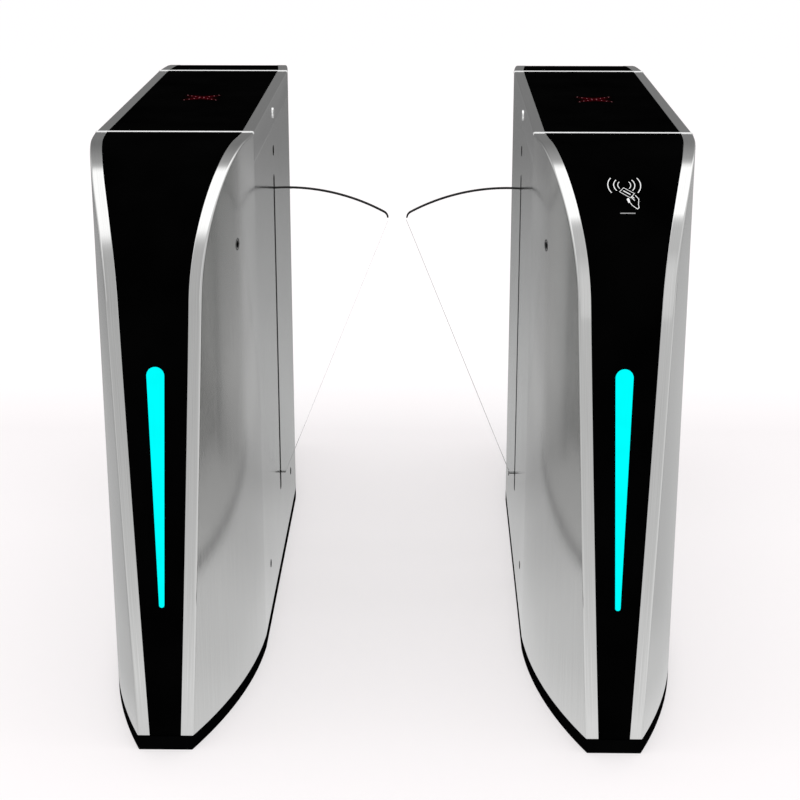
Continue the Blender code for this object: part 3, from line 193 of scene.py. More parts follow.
# Small edges, and steps along the rounded and the long shapes
NUT_EDGE = 0.0003
SENSOR_NUT_EDGE = 0.0004
BOLT_EDGE = 0.0005
STRIP_EDGE = 0.0005
FOOT_EDGE = 0.0006
BEVEL_STEPS = 2
BEVEL_ANGLE = math.radians(40)
TINY = 0.00005
LEVEL_STEPS = 4
ARC_STEPS = 44
FACE_STEPS = 22
PANEL_BEND_STEPS = 40
PANEL_FACE_STEPS = 12
PANEL_ROWS = 6
PLAN_STEPS = 36
CORNER_STEPS = 8
LIP_STEPS = 3
SLOT_STEPS = 16
LIGHT_STEPS = 20
WING_ARC_STEPS = 64
TIP_STEPS = 10

# Places that follow
BEND_CHORD = Vector((HALF_LENGTH - BEND_START, HALF_WIDTH - NOSE_HALF))
BEND_SPREAD = math.atan2(BEND_CHORD.y, BEND_CHORD.x) - BEND_FOLD
BEND_RADIUS = BEND_CHORD.length / (2 * math.sin(BEND_SPREAD))
ARC_Z = TOP - TOP_RADIUS
ARC_Y = HALF_LENGTH - ARC_Z * math.tan(FACE_LEAN) - TOP_RADIUS / math.cos(FACE_LEAN)
SEAM_Y = HALF_LID + SEAM_GAP
PANEL_TOP = PARTING_HEIGHT - SEAM_GAP / 2
SKIRT_FOOT = PARTING_HEIGHT + SEAM_GAP / 2
GLASS_FOOT = TOP - (GLASS_HIGH.z - GLASS_LOW.z) - FIT_GAP
FASCIA_SEAT = FASCIA_THICKNESS + FIT_GAP
SHEET_SIZES = {
    "Half width": HALF_WIDTH, "Bend start": BEND_START, "Fold": BEND_FOLD, "Bend radius": BEND_RADIUS,
    "Thickness": PANEL_THICKNESS,
}
SIDES = (
    ("left", Matrix.Translation((-CABINET_X, 0, 0))),
    ("right", Matrix.Translation((CABINET_X, 0, 0)) @ Matrix.Rotation(math.pi, 4, "Z")),
)


# Mesh helpers


def placed(name, data):
    """A new object in the scene."""
    item = bpy.data.objects.new(name, data)
    bpy.context.scene.collection.objects.link(item)
    return item


def as_object(name, mesh_data):
    mesh = bpy.data.meshes.new(name)
    mesh_data.to_mesh(mesh)
    mesh_data.free()
    return placed(name, mesh)


def new_piece(name, mesh_data):
    """An object from a bmesh, with its faces turned outwards."""
    bmesh.ops.recalc_face_normals(mesh_data, faces=mesh_data.faces)
    return as_object(name, mesh_data)


def smooth(piece, angle=32):
    """Shades smooth, with edges over an angle in degrees kept sharp."""
    piece.data.shade_smooth()
    piece.data.set_sharp_from_angle(angle=math.radians(angle))
    return piece


def even(first, last, steps):
    """Evenly spaced values from first to last."""
    return [first + (last - first) * step / steps for step in range(steps + 1)]


def circle(centre, radius, first, last, steps):
    return [
        (centre[0] + radius * math.cos(angle), centre[1] + radius * math.sin(angle))
        for angle in even(first, last, steps)
    ]


def disc(centre, radius, sides):
    return circle(centre, radius, 0, 2 * math.pi, sides)[:-1]


def tapered_slot(foot, foot_radius, top, top_radius, steps):
    """The outline round two circles, one at each end of a line."""
    run = Vector(top) - Vector(foot)
    heading = math.atan2(run.y, run.x)
    half = math.pi / 2 + math.asin((foot_radius - top_radius) / run.length)
    outline = circle(top, top_radius, heading - half, heading + half, steps)
    return outline + circle(foot, foot_radius, heading + half, heading + 2 * math.pi - half, steps)


def loft(name, loops):
    """A closed skin over loops of points, with its own map: around the loop and along the loft."""
    mesh_data = bmesh.new()
    layer = mesh_data.loops.layers.uv.verify()
    rings = [[mesh_data.verts.new(point) for point in loop] for loop in loops]
    count = len(rings[0])
    around = [0.0]
    for i in range(count):
        step = Vector(loops[0][(i + 1) % count]) - Vector(loops[0][i])
        around.append(around[-1] + step.length)
    along = 0.0
    for k in range(len(rings) - 1):
        stride = (Vector(loops[k + 1][0]) - Vector(loops[k][0])).length
        for i in range(count):
            j = (i + 1) % count
            face = mesh_data.faces.new((rings[k][i], rings[k][j], rings[k + 1][j], rings[k + 1][i]))
            places = ((i, along), (i + 1, along), (i + 1, along + stride), (i, along + stride))
            for corner, (at, height) in zip(face.loops, places):
                corner[layer].uv = (around[at], height)
        along += stride
    mesh_data.faces.new(rings[0])
    mesh_data.faces.new(rings[-1])
    return new_piece(name, mesh_data)


def spread(outline, axis, value):
    """Outline points in 3-D, at a value on an axis."""
    order = {"X": (2, 0, 1), "Y": (0, 2, 1), "Z": (0, 1, 2)}[axis]
    return [[(a, b, value)[i] for i in order] for a, b in outline]


def prism(name, outline, axis, low, high):
    return loft(name, [spread(outline, axis, low), spread(outline, axis, high)])


def box(name, low, high):
    outline = [(low[0], low[1]), (high[0], low[1]), (high[0], high[1]), (low[0], high[1])]
    return prism(name, outline, "Z", low[2], high[2])


def rod(name, centre, radius, axis, low, high, sides=32):
    return prism(name, disc(centre, radius, sides), axis, low, high)


def turned(name, profile, centre=(0, 0), sides=40):
    """A solid of revolution about the X axis, from pairs of radius and place."""
    loops = [spread(disc(centre, max(radius, TINY), sides), "X", place) for radius, place in profile]
    return loft(name, loops)


def faced_outwards(piece):
    """Turns every face of a closed mesh outwards."""
    mesh_data = bmesh.new()
    mesh_data.from_mesh(piece.data)
    bmesh.ops.recalc_face_normals(mesh_data, faces=mesh_data.faces)
    mesh_data.to_mesh(piece.data)
    mesh_data.free()
    return piece


def baked(piece):
    """Turns the piece's modifiers into plain mesh."""
    bpy.context.view_layer.update()
    evaluated = piece.evaluated_get(bpy.context.evaluated_depsgraph_get())
    mesh = bpy.data.meshes.new_from_object(evaluated)
    piece.modifiers.clear()
    piece.data = mesh
    return piece


def cut(piece, *tools):
    for tool in tools:
        modifier = piece.modifiers.new(tool.name, "BOOLEAN")
        modifier.operation = "DIFFERENCE"
        modifier.solver = "EXACT"
        modifier.object = tool
    baked(piece)
    for tool in tools:
        bpy.data.objects.remove(tool, do_unlink=True)
    return piece


def rounded(piece, width):
    """Rounds the hard edges."""
    modifier = piece.modifiers.new("edges", "BEVEL")
    modifier.width = width
    modifier.segments = BEVEL_STEPS
    modifier.limit_method = "ANGLE"
    modifier.angle_limit = BEVEL_ANGLE
    modifier.use_clamp_overlap = True
    return baked(piece)


def joined(name, *pieces):
    """One object from several, as separate closed shells."""
    mesh_data = bmesh.new()
    for piece in pieces:
        mesh_data.from_mesh(piece.data)
        bpy.data.objects.remove(piece, do_unlink=True)
    return as_object(name, mesh_data)


def transformed(piece, matrix):
    piece.data.transform(matrix)
    if matrix.determinant() < 0:
        piece.data.flip_normals()
    return piece


def mirrored(piece, axis):
    return transformed(piece, Matrix.Scale(-1, 4, axis))


def on_both(piece, body, slot, replaced=(), looks=()):
    """Places the piece on both cabinets, riding on each one's body, and hides what it stands for."""
    base = piece.name
    mesh = piece.data
    bpy.data.objects.remove(piece, do_unlink=True)
    for side, matrix in SIDES:
        copy = mesh.copy()
        copy.transform(matrix)
        item = placed(f"{side}_{base}_finish", copy)
        copy.materials.clear()
        for look in looks or (slot,):
            copy.materials.append(finish(look))
        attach(item, "root" if body == "root" else f"{side}_{body}")
        if replaced:
            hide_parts(*[f"{side}_{node}" for node in replaced])


def at_both_ends(make, name, slot, node):
    """Places a piece at the entry end and, mirrored, at the exit end."""
    on_both(make(f"entry_{name}"), "root", slot, [f"entry_{node}"])
    on_both(mirrored(make(f"exit_{name}"), (0, 1, 0)), "root", slot, [f"exit_{node}"])


def repeated(name, tree, values, points=(), edges=(), faces=()):
    """The plain mesh of a Geometry Nodes tree, on an object that may start from a given mesh."""
    start = bpy.data.meshes.new(name)
    start.from_pydata(points, edges, faces)
    piece = placed(name, start)
    modifier = piece.modifiers.new(name, "NODES")
    modifier.node_group = tree
    for item in tree.interface.items_tree:
        if item.item_type == "SOCKET" and item.in_out == "INPUT" and item.name in values:
            modifier[item.identifier] = values[item.name]
    return baked(piece)


# The cabinet's outline


def side_lean(y):
    """The angle of the side at a distance along the cabinet: none, then a fold and an arc."""
    past = abs(y) - BEND_START
    return math.asin(math.sin(BEND_FOLD) + past / BEND_RADIUS) if past > 0 else 0.0


def half_width(y):
    return HALF_WIDTH - BEND_RADIUS * (math.cos(BEND_FOLD) - math.cos(max(side_lean(y), BEND_FOLD)))


def folded(piece):
    """Keeps the fold at both ends of the straight stretch sharp."""
    mesh = piece.data
    for edge in mesh.edges:
        ends = [abs(mesh.vertices[i].co.y) - BEND_START for i in edge.vertices]
        if max(abs(end) for end in ends) < TINY:
            edge.use_edge_sharp = True
    return piece


def face_y(z):
    return HALF_LENGTH - z * math.tan(FACE_LEAN)


def end_stations(start):
    """Places from a seam on top down to the plinth, each with its step inwards for one unit of depth."""
    level = [start] if start < BEND_START - FIT_GAP else []
    level += even(BEND_START, ARC_Y, LEVEL_STEPS)[:-1]
    found = [(Vector((y, TOP)), Vector((0, -1))) for y in level]
    for out in circle((0, 0), 1, math.pi / 2, FACE_LEAN, ARC_STEPS):
        found.append((Vector((ARC_Y, ARC_Z)) + Vector(out) * TOP_RADIUS, -Vector(out)))
    corner_foot, inward = found[-1]
    found += [(Vector((face_y(z), z)), inward) for z in even(corner_foot.y, PANEL_FOOT, FACE_STEPS)[1:-1]]
    found.append((Vector((face_y(PANEL_FOOT), PANEL_FOOT)), Vector((-1 / math.cos(FACE_LEAN), 0))))
    return found


def end_strip(name, stations, section):
    """A bar that follows the cabinet's end. Its section is a list of side, inset and depth."""
    loops = []
    for place, inward in stations:
        loop = []
        for side, inset, depth in section:
            at = place + inward * depth
            loop.append((side * (half_width(at.x) - inset), at.x, at.y))
        loops.append(loop)
    return loft(name, loops)


def outline_height(y, depth):
    """Height of the cabinet's outline, drawn in by a depth, at a distance along its end."""
    radius = TOP_RADIUS - depth
    if y <= ARC_Y:
        return TOP - depth
    if y <= ARC_Y + radius * math.cos(FACE_LEAN):
        return ARC_Z + math.sqrt(radius ** 2 - (y - ARC_Y) ** 2)
    return (HALF_LENGTH - depth / math.cos(FACE_LEAN) - y) / math.tan(FACE_LEAN)


# Node helpers


def fill(tree, node, inputs):
    """Sets a node's inputs: a socket is linked, and anything else is the input's value."""
    for name, value in inputs.items():
        if isinstance(value, bpy.types.NodeSocket):
            tree.links.new(value, node.inputs[name])
        else:
            node.inputs[name].default_value = value


def added(tree, kind, output, inputs=None, **choices):
    """Adds a node with its choices and inputs, and gives one of its outputs."""
    node = tree.nodes.new(kind)
    for name, value in choices.items():
        setattr(node, name, value)
    fill(tree, node, inputs or {})
    return node.outputs[output]


def math_value(tree, operation, first, second=0.0):
    return added(tree, "ShaderNodeMath", "Value", {0: first, 1: second}, operation=operation)


def axis_value(tree, source, axis):
    """One coordinate of a surface point or of a direction."""
    place = added(tree, "ShaderNodeTexCoord", source)
    return added(tree, "ShaderNodeSeparateXYZ", axis, {"Vector": place})


def stepped(tree, value, low, high, bottom=0.0, top=1.0):
    """A value brought from one range to another, held at its ends."""
    return added(tree, "ShaderNodeMapRange", "Result", {
        "From Min": low, "From Max": high, "To Min": bottom, "To Max": top, "Value": value,
    })


def chosen(tree, factor, first, second):
    """One of two values, by a 0 to 1 factor."""
    return added(tree, "ShaderNodeMix", "Result", {"Factor": factor, "A": first, "B": second})


# Materials

NOISE_LOW = 0.3
NOISE_HIGH = 0.7
CLOUD_GLOSS = 0.015
GRAIN_DEPTH = 0.0002
DEEP_BLACK = (0.0006, 0.0006, 0.0006)
GLOSSY = (0.05, 0.08)
GLOW_COLOUR = (0.042, 0.0, 0.0022, 1)
GLOW_REACH = 1.25
GLOW_FULL = 0.60
GLOW_POWER = 1.6
CLEAR_COLOUR = (0.99, 0.995, 0.995, 1)
CLEAR_BENDING = 1.10

# Dark and light colour, roughness, stretch of the grain, coordinates that it follows, and its depth
METALS = {
    "brushed_steel": ((0.60, 0.60, 0.595), (0.66, 0.66, 0.655), (0.13, 0.19), (700, 700, 5), "Object", 0.04),
    "polished_trim": ((0.66, 0.66, 0.655), (0.74, 0.74, 0.735), (0.045, 0.085), (900, 6, 1), "UV", 0.04),
    # Paler and rougher than the trim's steel: its colour is a painted highlight along the lid's seams and the
    # parting lip
    "painted_highlight_steel": ((0.86, 0.86, 0.86), (0.92, 0.92, 0.92), (0.16, 0.22), (40, 600, 600), "Object", 0.04),
    "chrome": ((0.82, 0.82, 0.82), (0.88, 0.88, 0.88), (0.05, 0.09), (300, 300, 300), "Object", 0.01),
    "zinc_steel": ((0.50, 0.51, 0.53), (0.62, 0.63, 0.65), (0.32, 0.48), (90, 90, 90), "Object", 0.05),
    "cast_alloy": ((0.42, 0.43, 0.45), (0.52, 0.53, 0.55), (0.42, 0.58), (700, 700, 700), "Object", 0.2),
    "gear_steel": ((0.38, 0.38, 0.40), (0.50, 0.50, 0.52), (0.24, 0.36), (900, 40, 900), "Object", 0.06),
}

# Colour, roughness, fineness of the texture, its depth, and the surface's gloss
PLASTICS = {
    "black_glass": (DEEP_BLACK, GLOSSY, 30.0, 0.0, 0.0),
    "black_plinth": ((0.0012, 0.0012, 0.0013), (0.42, 0.52), 1400.0, 0.10, 0.0),
    "black_edge": ((0.004, 0.004, 0.004), (0.40, 0.50), 1200.0, 0.08, 0.25),
    "sensor_black": ((0.0010, 0.0010, 0.0012), (0.10, 0.18), 300.0, 0.02, 0.0),
    "print_white": ((0.88, 0.88, 0.88), (0.45, 0.55), 500.0, 0.02, 0.3),
    "print_grey": ((0.33, 0.33, 0.33), (0.45, 0.55), 500.0, 0.02, 0.3),
    "motor_grey": ((0.075, 0.075, 0.082), (0.38, 0.50), 1100.0, 0.10, 0.5),
    "circuit_green": ((0.012, 0.11, 0.04), (0.35, 0.50), 260.0, 0.10, 0.5),
}


def settings():
    return bpy.context.scene.flap_gate_looks


def pattern(tree, scale, detail=2.0, source="Object", stretch=(1, 1, 1)):
    """Noise over the surface, stretched along the axes, as a 0 to 1 value."""
    place = added(tree, "ShaderNodeTexCoord", source)
    place = added(tree, "ShaderNodeMapping", "Vector", {"Scale": stretch, "Vector": place})
    return added(tree, "ShaderNodeTexNoise", "Fac", {"Scale": scale, "Detail": detail, "Vector": place})


def ranged(tree, noise, low, high):
    """A noise value brought to a range."""
    return stepped(tree, noise, NOISE_LOW, NOISE_HIGH, low, high)


def tinted(tree, noise, dark, light):
    """A colour between two, by a noise value."""
    return added(tree, "ShaderNodeMix", "Result", {
        "A": (*dark, 1), "B": (*light, 1), "Factor": ranged(tree, noise, 0, 1),
    }, data_type="RGBA")


def textured(tree, height, strength):
    """A normal that follows a fine relief."""
    return added(tree, "ShaderNodeBump", "Normal", {
        "Strength": strength, "Distance": GRAIN_DEPTH, "Height": height,
    })


def grained(tree, dark, light, rough, stretch, source, depth):
    """Metal with a fine grain in one direction and faint cloudy changes of gloss."""
    grain = pattern(tree, 1.0, 3.0, source, stretch)
    cloud = ranged(tree, pattern(tree, 6.0), -CLOUD_GLOSS, CLOUD_GLOSS)
    return {
        "Base Color": tinted(tree, grain, dark, light), "Metallic": 1.0,
        "Roughness": math_value(tree, "ADD", ranged(tree, grain, *rough), cloud),
        "Normal": textured(tree, grain, depth),
    }


def moulded(tree, colour, rough, fineness, depth, gloss):
    """Paint, print or plastic with a fine surface texture."""
    cloud = pattern(tree, 9.0, 3.0)
    light = [channel * 1.12 + 0.0006 for channel in colour]
    return {
        "Base Color": tinted(tree, cloud, colour, light), "Roughness": ranged(tree, cloud, *rough),
        "Specular IOR Level": gloss, "Normal": textured(tree, pattern(tree, fineness), depth),
    }


def lit(tree, colour, change):
    """Lit plastic, slightly uneven."""
    return {
        "Base Color": (0.0, 0.0, 0.0, 1), "Roughness": 0.35, "Specular IOR Level": 0.0,
        "Emission Color": (*colour, 1),
        "Emission Strength": ranged(tree, pattern(tree, 25.0, 1.0), 1 - change, 1 + change),
    }


def cyan_light(tree):
    return lit(tree, settings().light_colour, 0.02)


def red_light(tree):
    return lit(tree, settings().cross_colour, 0.06)


def red_glow(tree):
    """Black glass with a faint red glow along both diagonals of the cross, by the piece's UV."""
    ways = [axis_value(tree, "UV", axis) for axis in "XY"]
    near = [math_value(tree, "ABSOLUTE", math_value(tree, side, *ways)) for side in ("ADD", "SUBTRACT")]
    band = stepped(tree, math_value(tree, "MINIMUM", *near), 0.0, 1.0, 1.0, 0.0)
    reach = math_value(tree, "MAXIMUM", *[math_value(tree, "ABSOLUTE", way) for way in ways])
    band = math_value(tree, "MULTIPLY", band, stepped(tree, reach, GLOW_FULL, GLOW_REACH, 1.0, 0.0))
    return {
        "Base Color": (*DEEP_BLACK, 1), "Roughness": ranged(tree, pattern(tree, 30.0), *GLOSSY),
        "Specular IOR Level": 0.0, "Emission Color": GLOW_COLOUR,
        "Emission Strength": math_value(tree, "POWER", band, GLOW_POWER),
    }


def clear_wing(tree):
    """Polished clear acrylic."""
    return {
        "Base Color": CLEAR_COLOUR, "Transmission Weight": 1.0, "IOR": CLEAR_BENDING,
        "Roughness": ranged(tree, pattern(tree, 14.0), 0.0, 0.02),
    }


def wing_rim_painted_shade(tree):
    """The wing's sawn and flame-polished rim, opaque, with a dark grey colour that is painted shade standing
    in for how the clear edge bends light.
    """
    rim_shade_noise = pattern(tree, 200.0)
    return {"Base Color": tinted(tree, rim_shade_noise, (0.030, 0.032, 0.032), (0.050, 0.052, 0.052)), "Roughness": 0.25}


OTHER_LOOKS = {make.__name__: make for make in (cyan_light, red_light, red_glow, clear_wing, wing_rim_painted_shade)}


def new_material(name):
    """A material of a finish's name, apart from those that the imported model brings."""
    material = bpy.data.materials.new(f"{name}_look")
    material.use_nodes = True
    tree = material.node_tree
    return material, tree, tree.nodes["Principled BSDF"]


def finish(name):
    """The material of one finish, made once."""
    found = bpy.data.materials.get(f"{name}_look")
    if found:
        return found
    material, tree, shader = new_material(name)
    if name in METALS:
        inputs = grained(tree, *METALS[name])
    elif name in PLASTICS:
        inputs = moulded(tree, *PLASTICS[name])
    else:
        inputs = OTHER_LOOKS[name](tree)
    fill(tree, shader, inputs)
    return material


# Geometry Nodes trees


def new_tree(name, sizes, takes_mesh=False):
    """A tree with named inputs for its sizes, one geometry output and, where it starts from one, a mesh."""
    tree = bpy.data.node_groups.new(name, "GeometryNodeTree")
    if takes_mesh:
        tree.interface.new_socket("Geometry", in_out="INPUT", socket_type="NodeSocketGeometry")
    for label, value in sizes.items():
        kinds = {int: "NodeSocketInt", float: "NodeSocketFloat", tuple: "NodeSocketVector"}
        socket = tree.interface.new_socket(label, in_out="INPUT", socket_type=kinds[type(value)])
        socket.default_value = value
    tree.interface.new_socket("Geometry", in_out="OUTPUT", socket_type="NodeSocketGeometry")
    return tree, tree.nodes.new("NodeGroupInput").outputs


def end_tree(tree, shape, look):
    """Realises the instances, sets the material and joins the output."""
    shape = added(tree, "GeometryNodeRealizeInstances", "Geometry", {"Geometry": shape})
    shape = added(tree, "GeometryNodeSetMaterial", "Geometry", {"Geometry": shape, "Material": finish(look)})
    fill(tree, tree.nodes.new("NodeGroupOutput"), {"Geometry": shape})
    return tree


def bent_sheet_tree():
    """Bends a flat sheet to the cabinet's plan: flat, a fold, then round to the ends; then thickens it."""
    tree, given = new_tree("bent_sheet", SHEET_SIZES, takes_mesh=True)
    place = added(tree, "GeometryNodeInputPosition", "Position")
    split = tree.nodes.new("ShaderNodeSeparateXYZ")
    fill(tree, split, {"Vector": place})
    fold, radius = given["Fold"], given["Bend radius"]
    past = math_value(tree, "SUBTRACT", math_value(tree, "ABSOLUTE", split.outputs["Y"]), given["Bend start"])
    sine = math_value(tree, "ADD", math_value(tree, "SINE", fold), math_value(tree, "DIVIDE", past, radius))
    lean = math_value(tree, "ARCSINE", math_value(tree, "MINIMUM", sine, 1.0))
    lean = math_value(tree, "MAXIMUM", lean, fold)
    drop = math_value(tree, "SUBTRACT", math_value(tree, "COSINE", fold), math_value(tree, "COSINE", lean))
    width = math_value(tree, "SUBTRACT", given["Half width"], math_value(tree, "MULTIPLY", radius, drop))
    place = added(tree, "ShaderNodeCombineXYZ", "Vector", {
        "X": width, "Y": split.outputs["Y"], "Z": split.outputs["Z"],
    })
    bent = added(tree, "GeometryNodeSetPosition", "Geometry", {
        "Geometry": given["Geometry"], "Position": place,
    })
    thickness = math_value(tree, "MULTIPLY", given["Thickness"], -1.0)
    wall = added(tree, "GeometryNodeExtrudeMesh", "Mesh", {
        "Mesh": bent, "Offset Scale": thickness, "Individual": False,
    })
    join = tree.nodes.new("GeometryNodeJoinGeometry")
    for shape in (bent, wall):
        fill(tree, join, {"Geometry": shape})
    whole = added(tree, "GeometryNodeMergeByDistance", "Geometry", {
        "Geometry": join.outputs["Geometry"], "Distance": 0.00002,
    })
    return end_tree(tree, whole, "brushed_steel")


def bead_tree(look):
    """A bead along the edges of the given mesh, round or flattened."""
    tree, given = new_tree("bead_on_path", {
        "Radius": 0.001, "Flattening": (1, 1, 1), "Sides": 12,
    }, takes_mesh=True)
    path = added(tree, "GeometryNodeMeshToCurve", "Curve", {"Mesh": given["Geometry"]})
    profile = added(tree, "GeometryNodeCurvePrimitiveCircle", "Curve", {
        "Radius": given["Radius"], "Resolution": given["Sides"],
    })
    profile = added(tree, "GeometryNodeTransform", "Geometry", {
        "Geometry": profile, "Scale": given["Flattening"],
    })
    bead = added(tree, "GeometryNodeCurveToMesh", "Mesh", {
        "Curve": path, "Profile Curve": profile, "Fill Caps": True,
    })
    return end_tree(tree, bead, look)


def rod_row_tree(look):
    """Equal rods in a row, such as knuckles, pins, washers and, with six sides, bolt heads."""
    tree, given = new_tree("rod_row", {
        "Count": 2, "Start": (0, 0, 0), "Step": (0, 1, 0), "Turn": (0, 0, 0), "Radius": 0.01, "Length": 0.01,
        "Sides": 24,
    })
    line = added(tree, "GeometryNodeMeshLine", "Mesh", {
        "Count": given["Count"], "Start Location": given["Start"], "Offset": given["Step"],
    })
    shape = added(tree, "GeometryNodeMeshCylinder", "Mesh", {
        "Vertices": given["Sides"], "Radius": given["Radius"], "Depth": given["Length"],
    })
    rods = added(tree, "GeometryNodeInstanceOnPoints", "Instances", {
        "Points": line, "Instance": shape, "Rotation": given["Turn"],
    })
    return end_tree(tree, rods, look)


def dot_row_tree():
    """Small domed lights in a row between two points."""
    tree, given = new_tree("light_dot_row", {
        "Count": 9, "Start": (0, 0, 0), "End": (1, 0, 0), "Radius": 0.001, "Height": 0.0004,
    })
    line = added(tree, "GeometryNodeMeshLine", "Mesh", {
        "Count": given["Count"], "Start Location": given["Start"], "Offset": given["End"],
    }, mode="END_POINTS")
    dot = added(tree, "GeometryNodeMeshCone", "Mesh", {
        "Vertices": 16, "Radius Bottom": given["Radius"], "Depth": given["Height"],
        "Radius Top": math_value(tree, "MULTIPLY", given["Radius"], 0.6),
    })
    dots = added(tree, "GeometryNodeInstanceOnPoints", "Instances", {"Points": line, "Instance": dot})
    return end_tree(tree, dots, "red_light")


# Side panels


def panel_sheet(name):
    """A bent sheet along the lane side, as high as the outline lets it be at each place."""
    depth = TRIM_EDGE + FIT_GAP
    face_start = ARC_Y + (TOP_RADIUS - TRIM_EDGE) * math.cos(FACE_LEAN)
    last = face_y(PANEL_FOOT) - depth / math.cos(FACE_LEAN)
    curved = even(BEND_START, face_start, PANEL_BEND_STEPS)[1:]
    curved += even(face_start, last, PANEL_FACE_STEPS)[1:]
    half = [(y, PANEL_TOP) for y in (0, SEAM_Y / 2, SEAM_Y)]
    half += [(SEAM_Y + FIT_GAP, TOP - depth), (BEND_START, TOP - depth)]
    half += [(y, max(outline_height(y, depth), PANEL_FOOT + FIT_GAP)) for y in curved]
    columns = [(-y, z) for y, z in reversed(half[1:])] + half
    points = [(0, y, z) for y, top in columns for z in even(PANEL_FOOT, top, PANEL_ROWS)]
    faces = []
    for column in range(len(columns) - 1):
        for row in range(PANEL_ROWS):
            first = column * (PANEL_ROWS + 1) + row
            faces.append((first, first + PANEL_ROWS + 1, first + PANEL_ROWS + 2, first + 1))
    return faced_outwards(repeated(name, bent_sheet_tree(), SHEET_SIZES, points, (), faces))


def slot_outline(growth):
    radius = SLOT_WIDTH / 2
    foot, top = (0, SLOT_FOOT + radius), (0, SLOT_TOP - radius)
    return tapered_slot(foot, radius + growth, top, radius + growth, SLOT_STEPS)


def inner_side_panel():
    """The lane side with the wing's slot, whose cut edge is lined with black rubber."""
    panel = panel_sheet("inner_side_panel")
    cut(panel, prism("slot", slot_outline(0), "X", 0, HALF_WIDTH + OVERRUN))
    for face in panel.data.polygons:
        lining = abs(face.center.y) < SLOT_WIDTH and abs(face.normal.x) < 0.5
        face.material_index = 1 if lining and SLOT_FOOT - FIT_GAP < face.center.z < SLOT_TOP + FIT_GAP else 0
    return folded(smooth(panel))


def slot_edging():
    """Rubber edging that clasps the cut edge of the wing's slot."""
    points = [(HALF_WIDTH - PANEL_THICKNESS / 2, y, z) for y, z in slot_outline(EDGING_LIP)]
    edges = [(i, (i + 1) % len(points)) for i in range(len(points))]
    sizes = {"Radius": EDGING_RADIUS, "Flattening": EDGING_FLATTENING, "Sides": 16}
    return smooth(faced_outwards(repeated("slot_edging", bead_tree("black_edge"), sizes, points, edges)), 50)


def parting_lip():
    """The inner panel's upper edge, turned in and rounded, which closes the seam under the lid's skirt."""
    low = (HALF_WIDTH - PANEL_THICKNESS, -HALF_LID, PANEL_TOP)
    high = (HALF_WIDTH - PARTING_STEP, HALF_LID, SKIRT_FOOT - FIT_GAP)
    return smooth(rounded(box("parting_lip", low, high), PARTING_EDGE), 50)


def outer_side_panel():
    return folded(smooth(mirrored(panel_sheet("outer_side_panel"), (1, 0, 0))))


# End trims and fascias


def top_corner():
    """The rounding from a side to the top."""
    centre = (HALF_WIDTH - TRIM_CORNER, TOP - TRIM_CORNER)
    return circle(centre, TRIM_CORNER, 0, math.pi / 2, CORNER_STEPS)


def flat_section(inset, top, bottom):
    """A plain section for end_strip, between two depths."""
    return [(1, inset, top), (-1, inset, top), (-1, inset, bottom), (1, inset, bottom)]


def trim_section(side):
    """One trim: rounded outer corner, flat top, small inner rounding and the foot under the fascia."""
    shelf = PANEL_THICKNESS + 2 * FIT_GAP
    outline = [(shelf, BACKPLATE_DEPTH), (shelf, TRIM_EDGE), (0, TRIM_EDGE)]
    outline += circle((TRIM_CORNER, TRIM_CORNER), TRIM_CORNER, -math.pi, -math.pi / 2, CORNER_STEPS)
    outline += [(TRIM_CORNER + TRIM_LIP, 0), (TRIM_WIDTH - 2 * TRIM_LIP, 0)]
    outline += circle((TRIM_WIDTH - TRIM_LIP, TRIM_LIP), TRIM_LIP, -math.pi / 2, 0, LIP_STEPS)
    outline.append((TRIM_WIDTH, BACKPLATE_DEPTH))
    return [(side, inset, depth) for inset, depth in outline]


def end_trims(name):
    """Both trims of one end, the plate behind the fascia and the lip at the lid's seam."""
    stations = end_stations(SEAM_Y)
    trims = [end_strip("trim", stations, trim_section(side)) for side in (-1, 1)]
    back = end_strip("back", stations, flat_section(TRIM_WIDTH, FASCIA_SEAT, BACKPLATE_DEPTH))
    reach = HALF_WIDTH - TRIM_WIDTH
    lip = box("lip", (-reach, SEAM_Y, TOP - FASCIA_SEAT), (reach, SEAM_Y + SEAM_LIP, TOP))
    return folded(smooth(joined(name, *trims, back, lip)))


def seam_beads(name, y):
    """Small beads along both seams of the lid, over the trims and a little way down both sides, in a paler
    steel whose colour is a painted highlight.
    """
    over = [(HALF_WIDTH, TOP - BEAD_WRAP)] + top_corner()
    path = over + [(-x, z) for x, z in reversed(over)]
    points = [(x, side * y, z) for side in (-1, 1) for x, z in path]
    edges = [(i, i + 1) for i in range(len(points) - 1) if i != len(path) - 1]
    beads = repeated(name, bead_tree("painted_highlight_steel"), {"Radius": BEAD_RADIUS, "Sides": 12}, points, edges)
    return smooth(faced_outwards(beads), 50)


def light_outline(growth):
    rise = (LIGHT_TOP - LIGHT_TOP_RADIUS - LIGHT_FOOT - LIGHT_FOOT_RADIUS) / math.cos(FACE_LEAN)
    return tapered_slot((0, 0), LIGHT_FOOT_RADIUS + growth, (0, rise), LIGHT_TOP_RADIUS + growth, LIGHT_STEPS)


def onto_face(piece):
    """Moves a piece from the light strip's own plane onto the leaning face."""
    foot = LIGHT_FOOT + LIGHT_FOOT_RADIUS
    turn = Matrix.Rotation(math.pi, 4, "Z") @ Matrix.Rotation(math.pi / 2 - FACE_LEAN, 4, "X")
    return transformed(piece, Matrix.Translation((0, face_y(foot), foot)) @ turn)


def fascia(name):
    """Black panel of one end, with the light strip's window."""
    section = flat_section(TRIM_WIDTH + FIT_GAP, FASCIA_DEPTH, FASCIA_THICKNESS)
    panel = end_strip(name, end_stations(SEAM_Y + SEAM_LIP + FIT_GAP), section)
    outline = light_outline(FIT_GAP / 2)
    cut(panel, onto_face(prism("window", outline, "Z", -FASCIA_THICKNESS - OVERRUN, OVERRUN)))
    return smooth(panel)


def light_strip(name):
    """Light guide with a softly rounded front."""
    loops = [[(x, y, -depth) for x, y in light_outline(growth)] for growth, depth in LIGHT_LAYERS]
    return smooth(onto_face(loft(name, loops)), 60)


# Lid


